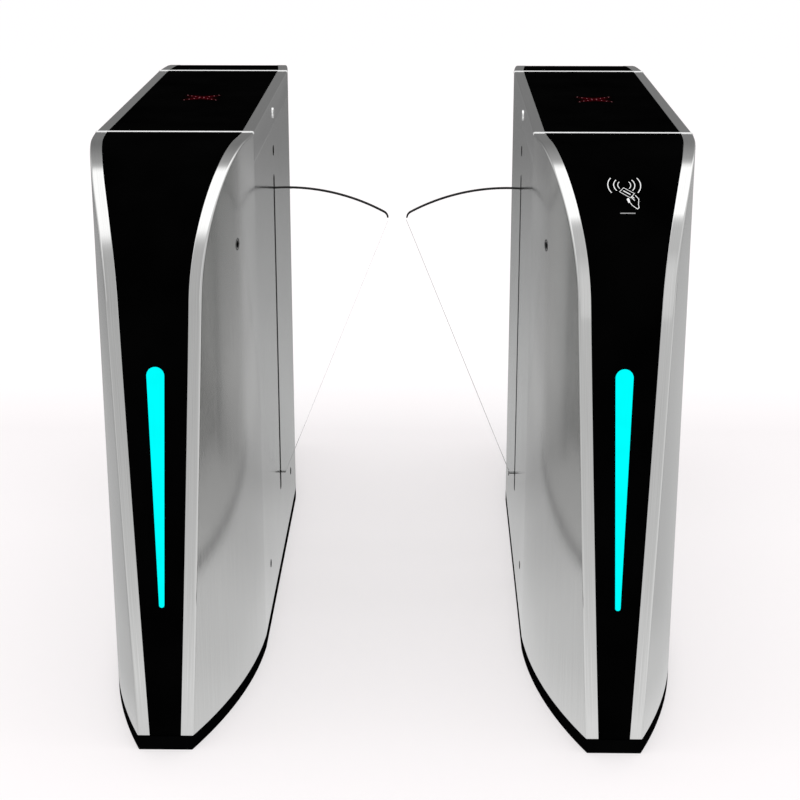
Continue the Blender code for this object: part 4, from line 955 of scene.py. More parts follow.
def lid_rail(side):
    """One long side of the lid: skirt, rounded corner, trim and the ledge that the glass lies on."""
    ledge_foot = GLASS_FOOT - PANEL_THICKNESS
    trim = HALF_WIDTH - TRIM_WIDTH
    inner = HALF_WIDTH - PANEL_THICKNESS
    outline = [(inner, SKIRT_FOOT)]
    outline += circle((HALF_WIDTH - TRIM_LIP, SKIRT_FOOT + TRIM_LIP), TRIM_LIP, -math.pi / 2, 0, LIP_STEPS)
    outline += [(HALF_WIDTH, TOP - TRIM_CORNER - TRIM_LIP)] + top_corner()
    outline += [(HALF_WIDTH - TRIM_CORNER - TRIM_LIP, TOP), (trim + 2 * TRIM_LIP, TOP)]
    outline += circle((trim + TRIM_LIP, TOP - TRIM_LIP), TRIM_LIP, math.pi / 2, math.pi, LIP_STEPS)
    outline += [(trim, GLASS_FOOT), (trim - LEDGE_WIDTH, GLASS_FOOT), (trim - LEDGE_WIDTH, ledge_foot)]
    outline += [(trim + PANEL_THICKNESS, ledge_foot), (trim + PANEL_THICKNESS, TOP - PANEL_THICKNESS)]
    outline += [(inner - TRIM_CORNER, TOP - PANEL_THICKNESS), (inner, TOP - TRIM_CORNER - PANEL_THICKNESS)]
    return prism("rail", [(side * x, z) for x, z in outline], "Y", -HALF_LID, HALF_LID)


def hinge_row(name, middle, apart, radius, length):
    """Two rods on the lid's hinge line, the same distance to both sides of a middle."""
    return repeated(name, rod_row_tree("polished_trim"), {
        "Count": 2, "Start": (-HALF_WIDTH, middle - apart, PARTING_HEIGHT), "Step": (0, 2 * apart, 0),
        "Turn": (math.pi / 2, 0, 0), "Radius": radius, "Length": length, "Sides": 24,
    })


def lid_end(side):
    """The lip at one end of the lid, and the ledge behind it."""
    reach = HALF_WIDTH - TRIM_WIDTH + PANEL_THICKNESS
    foot = GLASS_FOOT - PANEL_THICKNESS
    lip = HALF_LID - SEAM_LIP
    made = []
    for first, last, top in ((HALF_LID, lip, TOP), (lip, lip - LEDGE_WIDTH, GLASS_FOOT)):
        near, far = sorted((side * first, side * last))
        made.append(box("end", (-reach, near, foot), (reach, far, top)))
    return made


def lid_frame():
    """The lid's two rails, its end lips and its hinge knuckles."""
    rails = [lid_rail(side) for side in (-1, 1)]
    low, high = HALF_WIDTH - OVERRUN, HALF_WIDTH + OVERRUN
    cut(rails[1], rod("hole", (LOCK_Y, LOCK_HEIGHT), LOCK_BODY_RADIUS + FIT_GAP, "X", low, high))
    room = (KNUCKLE_STEP, KNUCKLE_RADIUS + SEAM_GAP / 2, KNUCKLE_LENGTH + 2 * FIT_GAP)
    for middle in (-HINGE_Y, HINGE_Y):
        cut(rails[0], hinge_row("room", middle, *room))
    knuckles = hinge_row("knuckles", 0, HINGE_Y, KNUCKLE_RADIUS, KNUCKLE_LENGTH)
    return smooth(joined("lid_frame", *rails, *lid_end(-1), *lid_end(1), knuckles))


def lid_glass():
    """Black glass with a fine ground edge."""
    x = HALF_WIDTH - TRIM_WIDTH - FIT_GAP
    y = HALF_LID - SEAM_LIP - FIT_GAP
    glass = box("lid_glass", (-x, -y, GLASS_LOW.z), (x, y, TOP - GLASS_DEPTH))
    return smooth(rounded(glass, GLASS_EDGE))


def cross_glow():
    """Thin patch on the lid glass that carries the cross's faint glow, with UV from the cross's middle."""
    look = settings()
    z = TOP - GLASS_DEPTH
    x, y = look.cross_half_width * GLOW_REACH, look.cross_half_length * GLOW_REACH
    patch = box("cross_glow", (-x, CROSS_Y - y, z - PATCH_DEPTH), (x, CROSS_Y + y, z + PATCH_HEIGHT))
    for loop, place in zip(patch.data.loops, patch.data.uv_layers[0].data):
        point = patch.data.vertices[loop.vertex_index].co
        place.uv = (point.x / look.cross_half_width, (point.y - CROSS_Y) / look.cross_half_length)
    return patch


def light_cross():
    """Two crossing rows of red light points on the lid glass."""
    look = settings()
    tree = dot_row_tree()
    x, z = look.cross_half_width, TOP - GLASS_DEPTH
    rows = []
    for y in (-look.cross_half_length, look.cross_half_length):
        rows.append(repeated("row", tree, {
            "Count": look.cross_dots, "Start": (-x, CROSS_Y - y, z), "End": (x, CROSS_Y + y, z),
            "Radius": look.cross_dot_radius, "Height": DOT_HEIGHT,
        }))
    return smooth(joined("light_cross", *rows))


# Card reader's mark
MARK_SHIFT = -0.0009
MARK_RISE = 0.00005
MARK_SEAT = 0.00030
# In the sign's own millimetres from its middle: radius, reach in degrees and width of the waves
MARK_WAVES = ((27.0, 37, 1.5), (17.4, 42, 1.4), (10.7, 43, 1.2))
# Across, and down along the fascia
MARK_THUMB = ((3.3, 27.9), (5.8, 26.9), (7.2, 29.9), (8.1, 35.9), (5.3, 36.9), (2.4, 29.9))
MARK_DASH = ((-9.1, 55.5), (15.6, 55.5), (15.6, 57.2), (-9.1, 57.2))
# Corners and width of the strokes: card, its stripe, hand and two fingers
MARK_STROKES = (
    (((-1.3, 5.6), (15.8, 17.9), (8.7, 26.6), (-8.4, 14.3), (-1.3, 5.6)), 0.9),
    (((-1.6, 12.4), (8.5, 19.5)), 1.7),
    (((17.2, 21.9), (22.3, 28.9), (21.3, 39.8), (22.0, 45.8), (19.2, 48.4), (10.6, 40.8), (8.4, 36.9)), 1.1),
    (((11.5, 23.9), (14.5, 26.9)), 1.3),
    (((10.6, 25.9), (15.0, 31.5)), 1.3),
)


def along_fascia(points, rise):
    """Places on the rounded fascia, from across and arc length down from the start of its arc."""
    found = []
    for across, down in points:
        angle = math.pi / 2 - down / TOP_RADIUS
        radius = TOP_RADIUS + rise
        found.append((-across, ARC_Y + radius * math.cos(angle), ARC_Z + radius * math.sin(angle)))
    return found


def printed_shape(name, outline):
    """A printed patch from the sign's own millimetres: its outline, filled in, just proud of the fascia."""
    look = settings()
    scale = look.mark_size / MARK_WAVES[0][0]
    points = [(x * scale + MARK_SHIFT, y * scale + look.mark_place) for x, y in outline]
    mesh_data = bmesh.new()
    low = [mesh_data.verts.new(point) for point in along_fascia(points, -MARK_SEAT)]
    high = [mesh_data.verts.new(point) for point in along_fascia(points, MARK_RISE)]
    for i in range(len(low)):
        j = (i + 1) % len(low)
        mesh_data.faces.new((low[i], low[j], high[j], high[i]))
    mesh_data.faces.new(low)
    mesh_data.faces.new(high)
    return new_piece(name, mesh_data)


def ribbon(points, width):
    """The outline of a line of even width along points."""
    left, right = [], []
    for i, point in enumerate(points):
        before, after = Vector(points[max(i - 1, 0)]), Vector(points[min(i + 1, len(points) - 1)])
        along = (after - before).normalized()
        side = Vector((-along.y, along.x)) * width / 2
        left.append(tuple(Vector(point) + side))
        right.append(tuple(Vector(point) - side))
    return left + right[::-1]


def strokes(points, width):
    """Straight strokes from point to point, that overlap at the corners."""
    lines = []
    for first, second in zip(points, points[1:]):
        past = (Vector(second) - Vector(first)).normalized() * width / 2
        lines.append(ribbon((Vector(first) - past, Vector(second) + past), width))
    return lines


def card_mark():
    """Generic sign for holding a card here: waves on both sides, a tilted card and a hand."""
    lines = []
    for middle in (math.pi, 0):
        for radius, reach, width in MARK_WAVES:
            half = math.radians(reach)
            lines.append(ribbon(circle((0, 0), radius, middle - half, middle + half, 16), width))
    for points, width in MARK_STROKES:
        lines += strokes(points, width)
    shapes = [printed_shape("line", line) for line in lines]
    return joined("card_mark", *shapes, printed_shape("thumb", MARK_THUMB))


# Lock and sensors


def bored(piece, radius, behind):
    """Cuts the lock's round bore through a piece, from a distance behind the skirt."""
    low, high = HALF_WIDTH - behind, HALF_WIDTH + OVERRUN
    return cut(piece, rod("bore", (LOCK_Y, LOCK_HEIGHT), radius, "X", low, high))


def lock_front():
    """Chrome bezel of the lock, turned, with its body and nut behind the skirt."""
    place = (LOCK_Y, LOCK_HEIGHT)
    bezel = turned("bezel", [(radius, HALF_WIDTH + step) for radius, step in LOCK_BEZEL], place)
    body = rod("body", place, LOCK_BODY_RADIUS, "X", HALF_WIDTH - LOCK_BODY_LENGTH, HALF_WIDTH)
    radius, low, high = LOCK_NUT
    nut = prism("nut", disc(place, radius, 6), "X", HALF_WIDTH + low, HALF_WIDTH + high)
    bored(bezel, LOCK_BORE_RADIUS, OVERRUN)
    bored(body, LOCK_BORE_RADIUS, 2 * OVERRUN)
    bored(nut, LOCK_BODY_RADIUS + NUT_CLEARANCE, 2 * OVERRUN)
    return smooth(joined("lock_front", bezel, body, rounded(nut, NUT_EDGE)))


def sensor(y, z, radius):
    """Sensor eye on the lane side: thin rim, domed dark lens, and its barrel with a nut."""
    rim = turned("rim", [(radius + step, place) for step, place in SENSOR_RIM])
    (edge, back), front = SENSOR_RIM[0], SENSOR_RIM[-1][1]
    lens = turned("lens", [
        (0, back - LENS_SEAT), (radius + edge, back - LENS_SEAT), (radius + edge, front),
        *[(radius * share, place) for share, place in LENS_DOME],
    ])
    inset, low, high = SENSOR_BARREL
    barrel = rod("barrel", (0, 0), radius - inset, "X", low, high)
    growth, low, high = SENSOR_NUT
    nut = rounded(prism("nut", disc((0, 0), radius + growth, 6), "X", low, high), SENSOR_NUT_EDGE)
    turn = Matrix.Rotation(math.copysign(side_lean(y), y), 4, "Z")
    eye = joined("sensor", rim, lens, barrel, nut)
    return transformed(eye, Matrix.Translation((half_width(y), y, z)) @ turn)


def sensors():
    return smooth(joined("sensors", *[sensor(*place) for place in SENSOR_PLACES]))


# Plinth


def plan_outline(inset):
    half = even(BEND_START, HALF_LENGTH - inset, PLAN_STEPS)
    right = [(half_width(y) - inset, y) for y in [-y for y in reversed(half)] + half]
    return right + [(-x, y) for x, y in reversed(right)]


def plinth():
    """Black tray under the cabinet, open above, with washers and bolt heads on its floor."""
    tray = prism("plinth", plan_outline(0), "Z", 0, PLINTH_HEIGHT)
    hollow = prism("hollow", plan_outline(TRAY_WALL), "Z", TRAY_FLOOR, PLINTH_HEIGHT + OVERRUN)
    cut(tray, hollow, rod("cable", (0, CABLE_Y), CABLE_RADIUS, "Z", -OVERRUN, OVERRUN, 48))
    tree = rod_row_tree("black_plinth")
    bolts = []
    for x in (-ANCHOR_X, ANCHOR_X):
        for radius, sides, low, high in ANCHOR_ROWS:
            row = repeated("bolts", tree, {
                "Count": 2, "Start": (x, -ANCHOR_Y, (low + high) / 2), "Step": (0, 2 * ANCHOR_Y, 0),
                "Radius": radius, "Length": high - low, "Sides": sides,
            })
            bolts.append(rounded(row, BOLT_EDGE))
    return smooth(joined("plinth", tray, *bolts))


# Wing


def lane_point(reach, height):
    return Vector((HALF_WIDTH + reach, height))


def wing_tip():
    """Centres of the top arc and of the rounding at its tip, and the way in from the leading edge."""
    centre = lane_point(WING_REACH_CENTRE, WING_CENTRE_HEIGHT)
    foot = lane_point(*WING_FOOT)
    across = WING_TIP_REACH - WING_REACH_CENTRE
    tip = lane_point(WING_TIP_REACH, WING_CENTRE_HEIGHT + math.sqrt(WING_RADIUS ** 2 - across ** 2))
    along = (tip - foot).normalized()
    into = Vector((-along.y, along.x))
    start = foot + into * WING_TIP_RADIUS - centre
    reach = WING_RADIUS - WING_TIP_RADIUS
    half = start.dot(along)
    length = math.sqrt(half ** 2 - start.length_squared + reach ** 2) - half
    return centre, centre + start + along * length, into


def wing_arc(inset):
    """The top arc, drawn in by an inset, from its inner end to the tip's rounding."""
    centre, tip, into = wing_tip()
    towards = tip - centre
    radius = WING_RADIUS - inset
    first = math.acos((WING_INNER_TOP - WING_REACH_CENTRE) / radius)
    return circle(centre, radius, first, math.atan2(towards.y, towards.x), WING_ARC_STEPS)


def tip_arc(inset, first, last):
    """Part of the tip's rounding, drawn in by an inset, between two shares of its turn."""
    centre, tip, into = wing_tip()
    towards = tip - centre
    start = math.atan2(towards.y, towards.x)
    turn = math.atan2(-into.y, -into.x) - start
    return circle(tip, WING_TIP_RADIUS - inset, start + first * turn, start + last * turn, TIP_STEPS)


def wing_panel():
    """Clear plate of the wing, with its bolt holes and rounded rim."""
    inset, share = WING_EDGE + FIT_GAP, EDGING_END + EDGING_PART
    outline = wing_arc(inset) + tip_arc(inset, 0, share)[1:] + tip_arc(0, share, 1)
    foot = lane_point(WING_INNER_FOOT, WING_FOOT[1])
    outline += [tuple(lane_point(*WING_FOOT)), tuple(foot)]
    half = WING_HALF_THICKNESS
    panel = prism("wing_panel", outline, "Y", -half, half)
    top = wing_arc(0)[0]
    holes = []
    for i in range(WING_HOLES):
        z = foot.y + WING_HOLE_RISE + i * WING_HOLE_STEP
        x = foot.x + (top[0] - foot.x) * (z - foot.y) / (top[1] - foot.y) + WING_HOLE_INSET
        holes.append(rod("hole", (x, z), WING_HOLE_RADIUS, "Y", -half - OVERRUN, half + OVERRUN, 24))
    cut(panel, *holes)
    smooth(rounded(panel, WING_RIM))
    for face in panel.data.polygons:
        face.use_smooth = abs(face.normal.y) < 0.99
        # The rim's faces take the second look, whose dark grey is painted shade
        face.material_index = 1 if face.use_smooth else 0
    return panel


def wing_edge():
    """Black edging along the top arc and round the tip, with softened corners."""
    outer, inner = [wing_arc(inset) + tip_arc(inset, 0, EDGING_END)[1:] for inset in (0, WING_EDGE)]
    half = WING_HALF_THICKNESS
    return smooth(rounded(prism("wing_edge", outer + inner[::-1], "Y", -half, half), STRIP_EDGE))


def wing_foot():
    half = WING_HALF_THICKNESS
    low = lane_point(WING_INNER_FOOT, WING_FOOT[1] - FIT_GAP - WING_FOOT_STRIP)
    high = lane_point(WING_FOOT[0], WING_FOOT[1] - FIT_GAP)
    return smooth(rounded(box("wing_foot", (low.x, -half, low.y), (high.x, half, high.y)), FOOT_EDGE))


# Stage, with the steel's surroundings as pairs of place and level

FRONT_FLOOR = ((-16, 0.61), (-6, 0.61), (-4.1, 0.63), (-3, 0.655), (-2.2, 0.70), (-1.6, 0.76), (-1.1, 0.85),
               (-0.95, 0.92))
# Painted shade: in gloss the floor dips darker in the lane between the cabinets than beside them
LANE_FLOOR_PAINTED_SHADE = FRONT_FLOOR + (
    (-0.56, 0.73), (-0.3, 0.69), (-0.12, 0.62), (0.03, 0.56), (0.25, 0.52), (0.5, 0.42), (0.8, 0.46),
    (1.12, 0.475), (1.6, 0.45), (2.2, 0.395), (2.9, 0.35), (3.75, 0.295), (4.3, 0.24), (4.9, 0.21), (6, 0.20))
SIDE_FLOOR = FRONT_FLOOR + (
    (-0.3, 0.58), (0.5, 0.56), (1.2, 0.56), (1.9, 0.52), (3.2, 0.42), (4.1, 0.42), (4.6, 0.34), (5.2, 0.28),
    (6, 0.27))
NEAR_GAIN = ((0, 1.0), (0.12, 1.0), (0.3, 1.12), (0.46, 1.06), (0.56, 0.93), (0.66, 0.97), (0.75, 0.95),
             (1.6, 0.94), (2.2, 0.97), (3, 1.0))
# The paper's glow to the camera along the gate, lower behind it: painted shade where the lane's shadow
# reaches back
FLOOR_GLOW_PAINTED_SHADE = ((-1.0, 0.52), (0.2, 0.51), (0.88, 0.446), (1.2, 0.50), (1.5, 0.56))
BACK_SKY = ((0.25, 1.45), (0.38, 1.45), (0.45, 1.10), (0.48, 0.80), (0.51, 0.60), (0.58, 0.43), (0.69, 0.36),
            (0.83, 0.27), (0.93, 0.22), (1.0, 0.21))
FRONT_SKY = ((0.38, 1.55), (0.46, 1.45), (0.52, 1.08), (0.56, 0.82), (0.61, 0.66), (0.67, 0.60), (0.90, 0.59),
             (0.95, 0.64), (1.0, 0.70), (1.04, 0.74), (1.2, 0.74))
SIDE_SKY = ((0.0, 0.60), (0.3, 0.62), (0.6, 0.80), (0.85, 1.20), (1.0, 1.40))
FLOOR_REACH = 14.0
PAPER_COLOUR = (0.80, 0.80, 0.80, 1)
SHADOW_COLOUR = (0.52, 0.492, 0.499, 1)
GLOW_WHITE = (1.0, 0.985, 0.989, 1)
DIFFUSE_SKY = 0.9
# Ranges, and what some of them are brought to
LANE_TO_SIDE = (0.12, 0.80)
NEAR_START = (-0.95, -0.60)
NEAR_END = (2.6, 1.6)
FLOOR_TILT = (-1.7, 1.7, 0.92, 1.09)
SKY_TILT = (-0.3, 0.3, 0.82, 1.22)
ROOM_TO_SIDE = (0.35, 0.75)
# Gain after gloss bounces: painted light, making reflections that pass between both cabinets' steel brighter
MIRROR_GAIN = (1.0, 3.0, 1.0, 1.62)
FLOOR_SLANT = 0.6
SKY_SLANT = 0.4
# Place, target, size and power
CEILING_LIGHT = ((0.0, 0.2, 4.2), (0, 0, 0.4), (3.4, 1.8), 38)


def grey_ramp(tree, value, stops):
    """A value looked up in a table of places and levels."""
    low, high = stops[0][0], stops[-1][0]
    ramp = tree.nodes.new("ShaderNodeValToRGB")
    elements = ramp.color_ramp.elements
    while len(elements) < len(stops):
        elements.new(0.5)
    for element, (place, level) in zip(elements, stops):
        element.position = (place - low) / (high - low)
        element.color = (level, level, level, 1)
    fill(tree, ramp, {"Fac": stepped(tree, value, low, high)})
    return ramp.outputs["Color"]


def product(tree, first, *others):
    for other in others:
        first = math_value(tree, "MULTIPLY", first, other)
    return first


def mirrored_light(tree):
    """Whether the light came by way of gloss, and its gain for coming by way of both cabinets' steel, which
    is painted light.
    """
    depth = added(tree, "ShaderNodeLightPath", "Glossy Depth")
    return math_value(tree, "GREATER_THAN", depth, 0.5), stepped(tree, depth, *MIRROR_GAIN)


def floor_level(tree, gain):
    """What the steel sees of the floor: its own painted levels in the lane, beside the gate and close to it,
    with painted shade as a dip in the lane between the cabinets, since in gloss the floor is emission only.
    """
    across, along = axis_value(tree, "Object", "X"), axis_value(tree, "Object", "Y")
    away = math_value(tree, "ABSOLUTE", across)
    beside = math_value(tree, "MINIMUM", stepped(tree, along, *NEAR_START), stepped(tree, along, *NEAR_END))
    left = math_value(tree, "MINIMUM", across, 0.0)
    farther = math_value(tree, "SUBTRACT", along, product(tree, left, FLOOR_SLANT))
    lane, side = grey_ramp(tree, along, LANE_FLOOR_PAINTED_SHADE), grey_ramp(tree, farther, SIDE_FLOOR)
    level = chosen(tree, stepped(tree, away, *LANE_TO_SIDE), lane, side)
    near = chosen(tree, beside, 1.0, grey_ramp(tree, away, NEAR_GAIN))
    return product(tree, level, near, stepped(tree, across, *FLOOR_TILT), gain)


def stage_material():
    """White paper: pale to the camera, with painted shade in its glow behind the gate, painted levels in
    gloss, plain to diffuse light, and it keeps the object's shadow.
    """
    material, tree, shader = new_material("stage_paper")
    tree.nodes.remove(shader)
    mirrored_way, gain = mirrored_light(tree)
    glow = grey_ramp(tree, axis_value(tree, "Object", "Y"), FLOOR_GLOW_PAINTED_SHADE)
    surface = added(tree, "ShaderNodeAddShader", "Shader", {
        0: added(tree, "ShaderNodeBsdfDiffuse", "BSDF", {"Color": SHADOW_COLOUR}),
        1: added(tree, "ShaderNodeEmission", "Emission", {"Color": GLOW_WHITE, "Strength": glow}),
    })
    gloss = added(tree, "ShaderNodeEmission", "Emission", {"Strength": floor_level(tree, gain)})
    plain = added(tree, "ShaderNodeBsdfDiffuse", "BSDF", {"Color": PAPER_COLOUR})
    diffuse = added(tree, "ShaderNodeLightPath", "Is Diffuse Ray")
    for factor, over in ((mirrored_way, gloss), (diffuse, plain)):
        surface = added(tree, "ShaderNodeMixShader", "Shader", {"Fac": factor, 1: surface, 2: over})
    fill(tree, tree.nodes["Material Output"], {"Surface": surface})
    return material


def make_floor():
    mesh_data = bmesh.new()
    corners = [(-1, -1), (1, -1), (1, 1), (-1, 1)]
    mesh_data.faces.new([mesh_data.verts.new((x * FLOOR_REACH, y * FLOOR_REACH, 0)) for x, y in corners])
    floor = new_piece("stage_floor", mesh_data)
    if floor.data.polygons[0].normal.z < 0:
        floor.data.flip_normals()
    floor.data.materials.append(stage_material())


def make_world():
    """White to the camera and through glass; to gloss, a studio with a bright ceiling and darker walls."""
    world = bpy.data.worlds.new("studio")
    bpy.context.scene.world = world
    world.use_nodes = True
    tree = world.node_tree
    across, along, up = [axis_value(tree, "Generated", axis) for axis in "XYZ"]
    slanted = math_value(tree, "SUBTRACT", across, along)
    backward = math_value(tree, "SUBTRACT", along, product(tree, across, SKY_SLANT))
    front = product(tree, grey_ramp(tree, slanted, FRONT_SKY), stepped(tree, across, *SKY_TILT))
    middle = math_value(tree, "MINIMUM", grey_ramp(tree, backward, BACK_SKY), front)
    aside = stepped(tree, math_value(tree, "ABSOLUTE", across), *ROOM_TO_SIDE)
    room = chosen(tree, aside, middle, grey_ramp(tree, up, SIDE_SKY))
    mirrored_way, gain = mirrored_light(tree)
    level = chosen(tree, mirrored_way, 1.0, product(tree, room, gain))
    level = chosen(tree, added(tree, "ShaderNodeLightPath", "Is Diffuse Ray"), level, DIFFUSE_SKY)
    fill(tree, tree.nodes["Background"], {"Color": (1, 1, 1, 1), "Strength": level})


def make_lamp(name, place, target, size, power):
    data = bpy.data.lights.new(name, "AREA")
    data.shape = "RECTANGLE"
    data.size, data.size_y = size
    data.energy = power
    lamp = placed(name, data)
    lamp.location = place
    lamp.rotation_euler = (Vector(target) - Vector(place)).to_track_quat("-Z", "Y").to_euler()
    lamp.visible_glossy = False


def make_camera():
    look = settings()
    data = bpy.data.cameras.new("photo_camera")
    data.sensor_width = 36.0
    data.lens = look.camera_lens
    camera = placed("photo_camera", data)
    camera.location = look.camera_place
    camera.rotation_euler = look.camera_turn
    bpy.context.scene.camera = camera


# Settings, operators and panel


class FlapGateLooks(bpy.types.PropertyGroup):
    """Sizes and colours that a user would change."""

    light_colour: FloatVectorProperty(
        name="Light strip colour", description="Colour of the lit strips in the fascias",
        subtype="COLOR", size=3, min=0, max=1, default=(0.0, 1.0, 1.0))
    cross_colour: FloatVectorProperty(
        name="Cross colour", description="Colour of the light points in the lids",
        subtype="COLOR", size=3, min=0, max=1, default=(0.34, 0.14, 0.16))
    cross_half_width: FloatProperty(
        name="Cross half width", description="Half the cross's size across the lid",
        default=0.031, min=0.005, max=0.1, unit="LENGTH")
    cross_half_length: FloatProperty(
        name="Cross half length", description="Half the cross's size along the lid",
        default=0.030, min=0.005, max=0.1, unit="LENGTH")
    cross_dots: IntProperty(
        name="Cross points", description="Light points in each row of the cross", default=8, min=2, max=40)
    cross_dot_radius: FloatProperty(
        name="Light point radius", description="Radius of one light point of the cross",
        default=0.0013, min=0.0003, max=0.005, unit="LENGTH", precision=4)
    mark_size: FloatProperty(
        name="Card mark size", description="Radius of the sign's outermost waves",
        default=0.0270, min=0.01, max=0.05, unit="LENGTH")
    mark_place: FloatProperty(
        name="Card mark place", description="Arc length from the top of the corner down to the sign",
        default=0.1577, min=0.05, max=0.3, unit="LENGTH")
    camera_place: FloatVectorProperty(
        name="Camera place", description="Where the camera stands",
        subtype="TRANSLATION", unit="LENGTH", size=3, default=(0.0641, -3.5078, 1.5413))
    camera_turn: FloatVectorProperty(
        name="Camera turn", description="How the camera is turned",
        subtype="EULER", unit="ROTATION", size=3,
        default=(math.radians(90 - 18.386), 0.0, math.radians(0.961)))
    camera_lens: FloatProperty(
        name="Lens", description="Focal length on a 36 mm sensor, in millimetres",
        default=80.1, min=20, max=200)


class GATE_OT_stage(bpy.types.Operator):
    """Adds the floor, the studio light and the camera"""
    bl_idname = "gate.stage"
    bl_label = "Stage"

    def execute(self, context):
        make_floor()
        make_world()
        make_lamp("ceiling_light", *CEILING_LIGHT)
        make_camera()
        context.scene.view_settings.view_transform = "Standard"
        return {"FINISHED"}


class GATE_OT_side_panels(bpy.types.Operator):
    """Adds the bent side panels of both cabinets"""
    bl_idname = "gate.side_panels"
    bl_label = "Side panels"

    def execute(self, context):
        lined = ["brushed_steel", "black_edge"]
        on_both(inner_side_panel(), "root", "brushed_steel", ["inner_side_panel"], lined)
        on_both(slot_edging(), "root", "black_edge")
        # The parting lip wears the paler steel, a painted highlight along the seam under the skirt
        on_both(parting_lip(), "root", "polished_trim", (), ["painted_highlight_steel"])
        on_both(outer_side_panel(), "root", "brushed_steel", ["outer_side_panel"])
        return {"FINISHED"}


class GATE_OT_hinges(bpy.types.Operator):
    """Adds the fixed hinge knuckles and pins of the lids"""
    bl_idname = "gate.hinges"
    bl_label = "Hinges"

    def execute(self, context):
        sizes = (KNUCKLE_STEP, KNUCKLE_RADIUS, KNUCKLE_LENGTH)
        knuckles = [hinge_row("knuckles", middle, *sizes) for middle in (-HINGE_Y, HINGE_Y)]
        pins = hinge_row("pins", 0, HINGE_Y, PIN_RADIUS, 2 * KNUCKLE_LENGTH)
        on_both(smooth(joined("hinge", *knuckles, pins)), "root", "polished_trim")
        return {"FINISHED"}


class GATE_OT_end_trims(bpy.types.Operator):
    """Adds the silver edge trims of both ends of both cabinets"""
    bl_idname = "gate.end_trims"
    bl_label = "End trims"

    def execute(self, context):
        at_both_ends(end_trims, "trims", "polished_trim", "end_frame")
        return {"FINISHED"}


class GATE_OT_seam_beads(bpy.types.Operator):
    """Adds the bright beads on both sides of the lid's seams"""
    bl_idname = "gate.seam_beads"
    bl_label = "Seam beads"

    def execute(self, context):
        # Real beads at the seams; their paler steel is a painted highlight
        bright = ["painted_highlight_steel"]
        on_both(seam_beads("end_beads", SEAM_Y + SEAM_LIP / 2), "root", "polished_trim", (), bright)
        on_both(seam_beads("lid_beads", HALF_LID - SEAM_LIP / 2), "lid", "polished_trim", (), bright)
        return {"FINISHED"}


class GATE_OT_fascias(bpy.types.Operator):
    """Adds the black end panels"""
    bl_idname = "gate.fascias"
    bl_label = "Fascias"

    def execute(self, context):
        at_both_ends(fascia, "fascia", "black_glass", "fascia")
        return {"FINISHED"}


class GATE_OT_light_strips(bpy.types.Operator):
    """Adds the lit strips in the fascias"""
    bl_idname = "gate.light_strips"
    bl_label = "Light strips"

    def execute(self, context):
        at_both_ends(light_strip, "light", "cyan_light", "light_strip")
        return {"FINISHED"}


class GATE_OT_lids(bpy.types.Operator):
    """Adds the lids with their black glass"""
    bl_idname = "gate.lids"
    bl_label = "Lids"

    def execute(self, context):
        on_both(lid_frame(), "lid", "polished_trim", ["lid_frame"])
        on_both(lid_glass(), "lid", "black_glass", ["lid_glass"])
        return {"FINISHED"}


class GATE_OT_light_crosses(bpy.types.Operator):
    """Adds the red crosses of light points in the lids"""
    bl_idname = "gate.light_crosses"
    bl_label = "Light crosses"

    def execute(self, context):
        on_both(cross_glow(), "lid", "sensor_black", (), ["red_glow"])
        on_both(light_cross(), "lid", "sensor_black", (), ["red_light"])
        return {"FINISHED"}


class GATE_OT_card_marks(bpy.types.Operator):
    """Adds the generic card sign on each entry fascia"""
    bl_idname = "gate.card_marks"
    bl_label = "Card marks"

    def execute(self, context):
        on_both(card_mark(), "root", "black_glass", (), ["print_white"])
        on_both(printed_shape("card_dash", MARK_DASH), "root", "black_glass", (), ["print_grey"])
        return {"FINISHED"}


class GATE_OT_locks(bpy.types.Operator):
    """Adds the lock fronts in the lids' skirts"""
    bl_idname = "gate.locks"
    bl_label = "Locks"

    def execute(self, context):
        on_both(lock_front(), "lid", "chrome", ["lock_housing"])
        return {"FINISHED"}


class GATE_OT_sensors(bpy.types.Operator):
    """Adds the sensor eyes in the lane sides"""
    bl_idname = "gate.sensors"
    bl_label = "Sensors"

    def execute(self, context):
        on_both(sensors(), "root", "sensor_black")
        return {"FINISHED"}


class GATE_OT_plinths(bpy.types.Operator):
    """Adds the black plinth trays"""
    bl_idname = "gate.plinths"
    bl_label = "Plinths"

    def execute(self, context):
        on_both(plinth(), "root", "black_plinth", ["base_tray"])
        return {"FINISHED"}


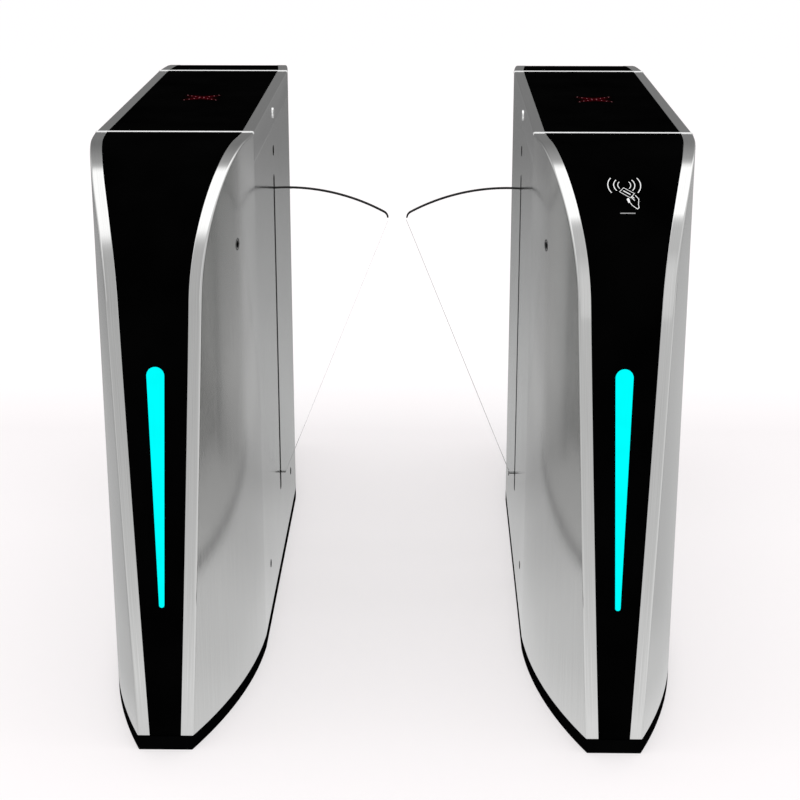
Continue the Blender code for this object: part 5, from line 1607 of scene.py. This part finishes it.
class GATE_OT_wings(bpy.types.Operator):
    """Adds the clear wings with their black edging"""
    bl_idname = "gate.wings"
    bl_label = "Wings"

    def execute(self, context):
        on_both(wing_panel(), "flap", "clear_wing", ["flap_panel"], ["clear_wing", "wing_rim_painted_shade"])
        on_both(wing_edge(), "flap", "black_edge", ["flap_edge_strip"])
        on_both(wing_foot(), "flap", "black_edge", ["flap_foot_strip"])
        return {"FINISHED"}


class GATE_OT_inner_works(bpy.types.Operator):
    """Gives the drives, chassis and electrical boxes their finishes"""
    bl_idname = "gate.inner_works"
    bl_label = "Inner works"

    def execute(self, context):
        slots = {item["node"]: item["material_slot"] for item in frame["record"]["subparts"]}
        for name, node in frame["nodes"].items():
            node.data.materials.clear()
            node.data.materials.append(finish(slots[name]))
        return {"FINISHED"}


STEPS = (
    GATE_OT_stage, GATE_OT_inner_works, GATE_OT_side_panels, GATE_OT_hinges, GATE_OT_end_trims,
    GATE_OT_seam_beads, GATE_OT_fascias, GATE_OT_light_strips, GATE_OT_lids, GATE_OT_light_crosses,
    GATE_OT_card_marks, GATE_OT_locks, GATE_OT_sensors, GATE_OT_plinths, GATE_OT_wings,
)


class GATE_PT_looks(bpy.types.Panel):
    """Lists the gate's sizes, colours and steps"""
    bl_label = "Flap gate"
    bl_idname = "GATE_PT_looks"
    bl_space_type = "VIEW_3D"
    bl_region_type = "UI"
    bl_category = "Flap gate"

    def draw(self, context):
        looks = context.scene.flap_gate_looks
        for name in looks.bl_rna.properties.keys():
            if name not in {"rna_type", "name"}:
                self.layout.prop(looks, name)
        for step in STEPS:
            self.layout.operator(step.bl_idname)


def register():
    bpy.utils.register_class(FlapGateLooks)
    for step in STEPS:
        bpy.utils.register_class(step)
    bpy.utils.register_class(GATE_PT_looks)
    bpy.types.Scene.flap_gate_looks = PointerProperty(type=FlapGateLooks)


def unregister():
    del bpy.types.Scene.flap_gate_looks
    bpy.utils.unregister_class(GATE_PT_looks)
    for step in reversed(STEPS):
        bpy.utils.unregister_class(step)
    bpy.utils.unregister_class(FlapGateLooks)


def main():
    register()
    for step in STEPS:
        group, name = step.bl_idname.split(".")
        getattr(getattr(bpy.ops, group), name)()
    bpy.context.view_layer.update()


if __name__ == "__main__":
    main()
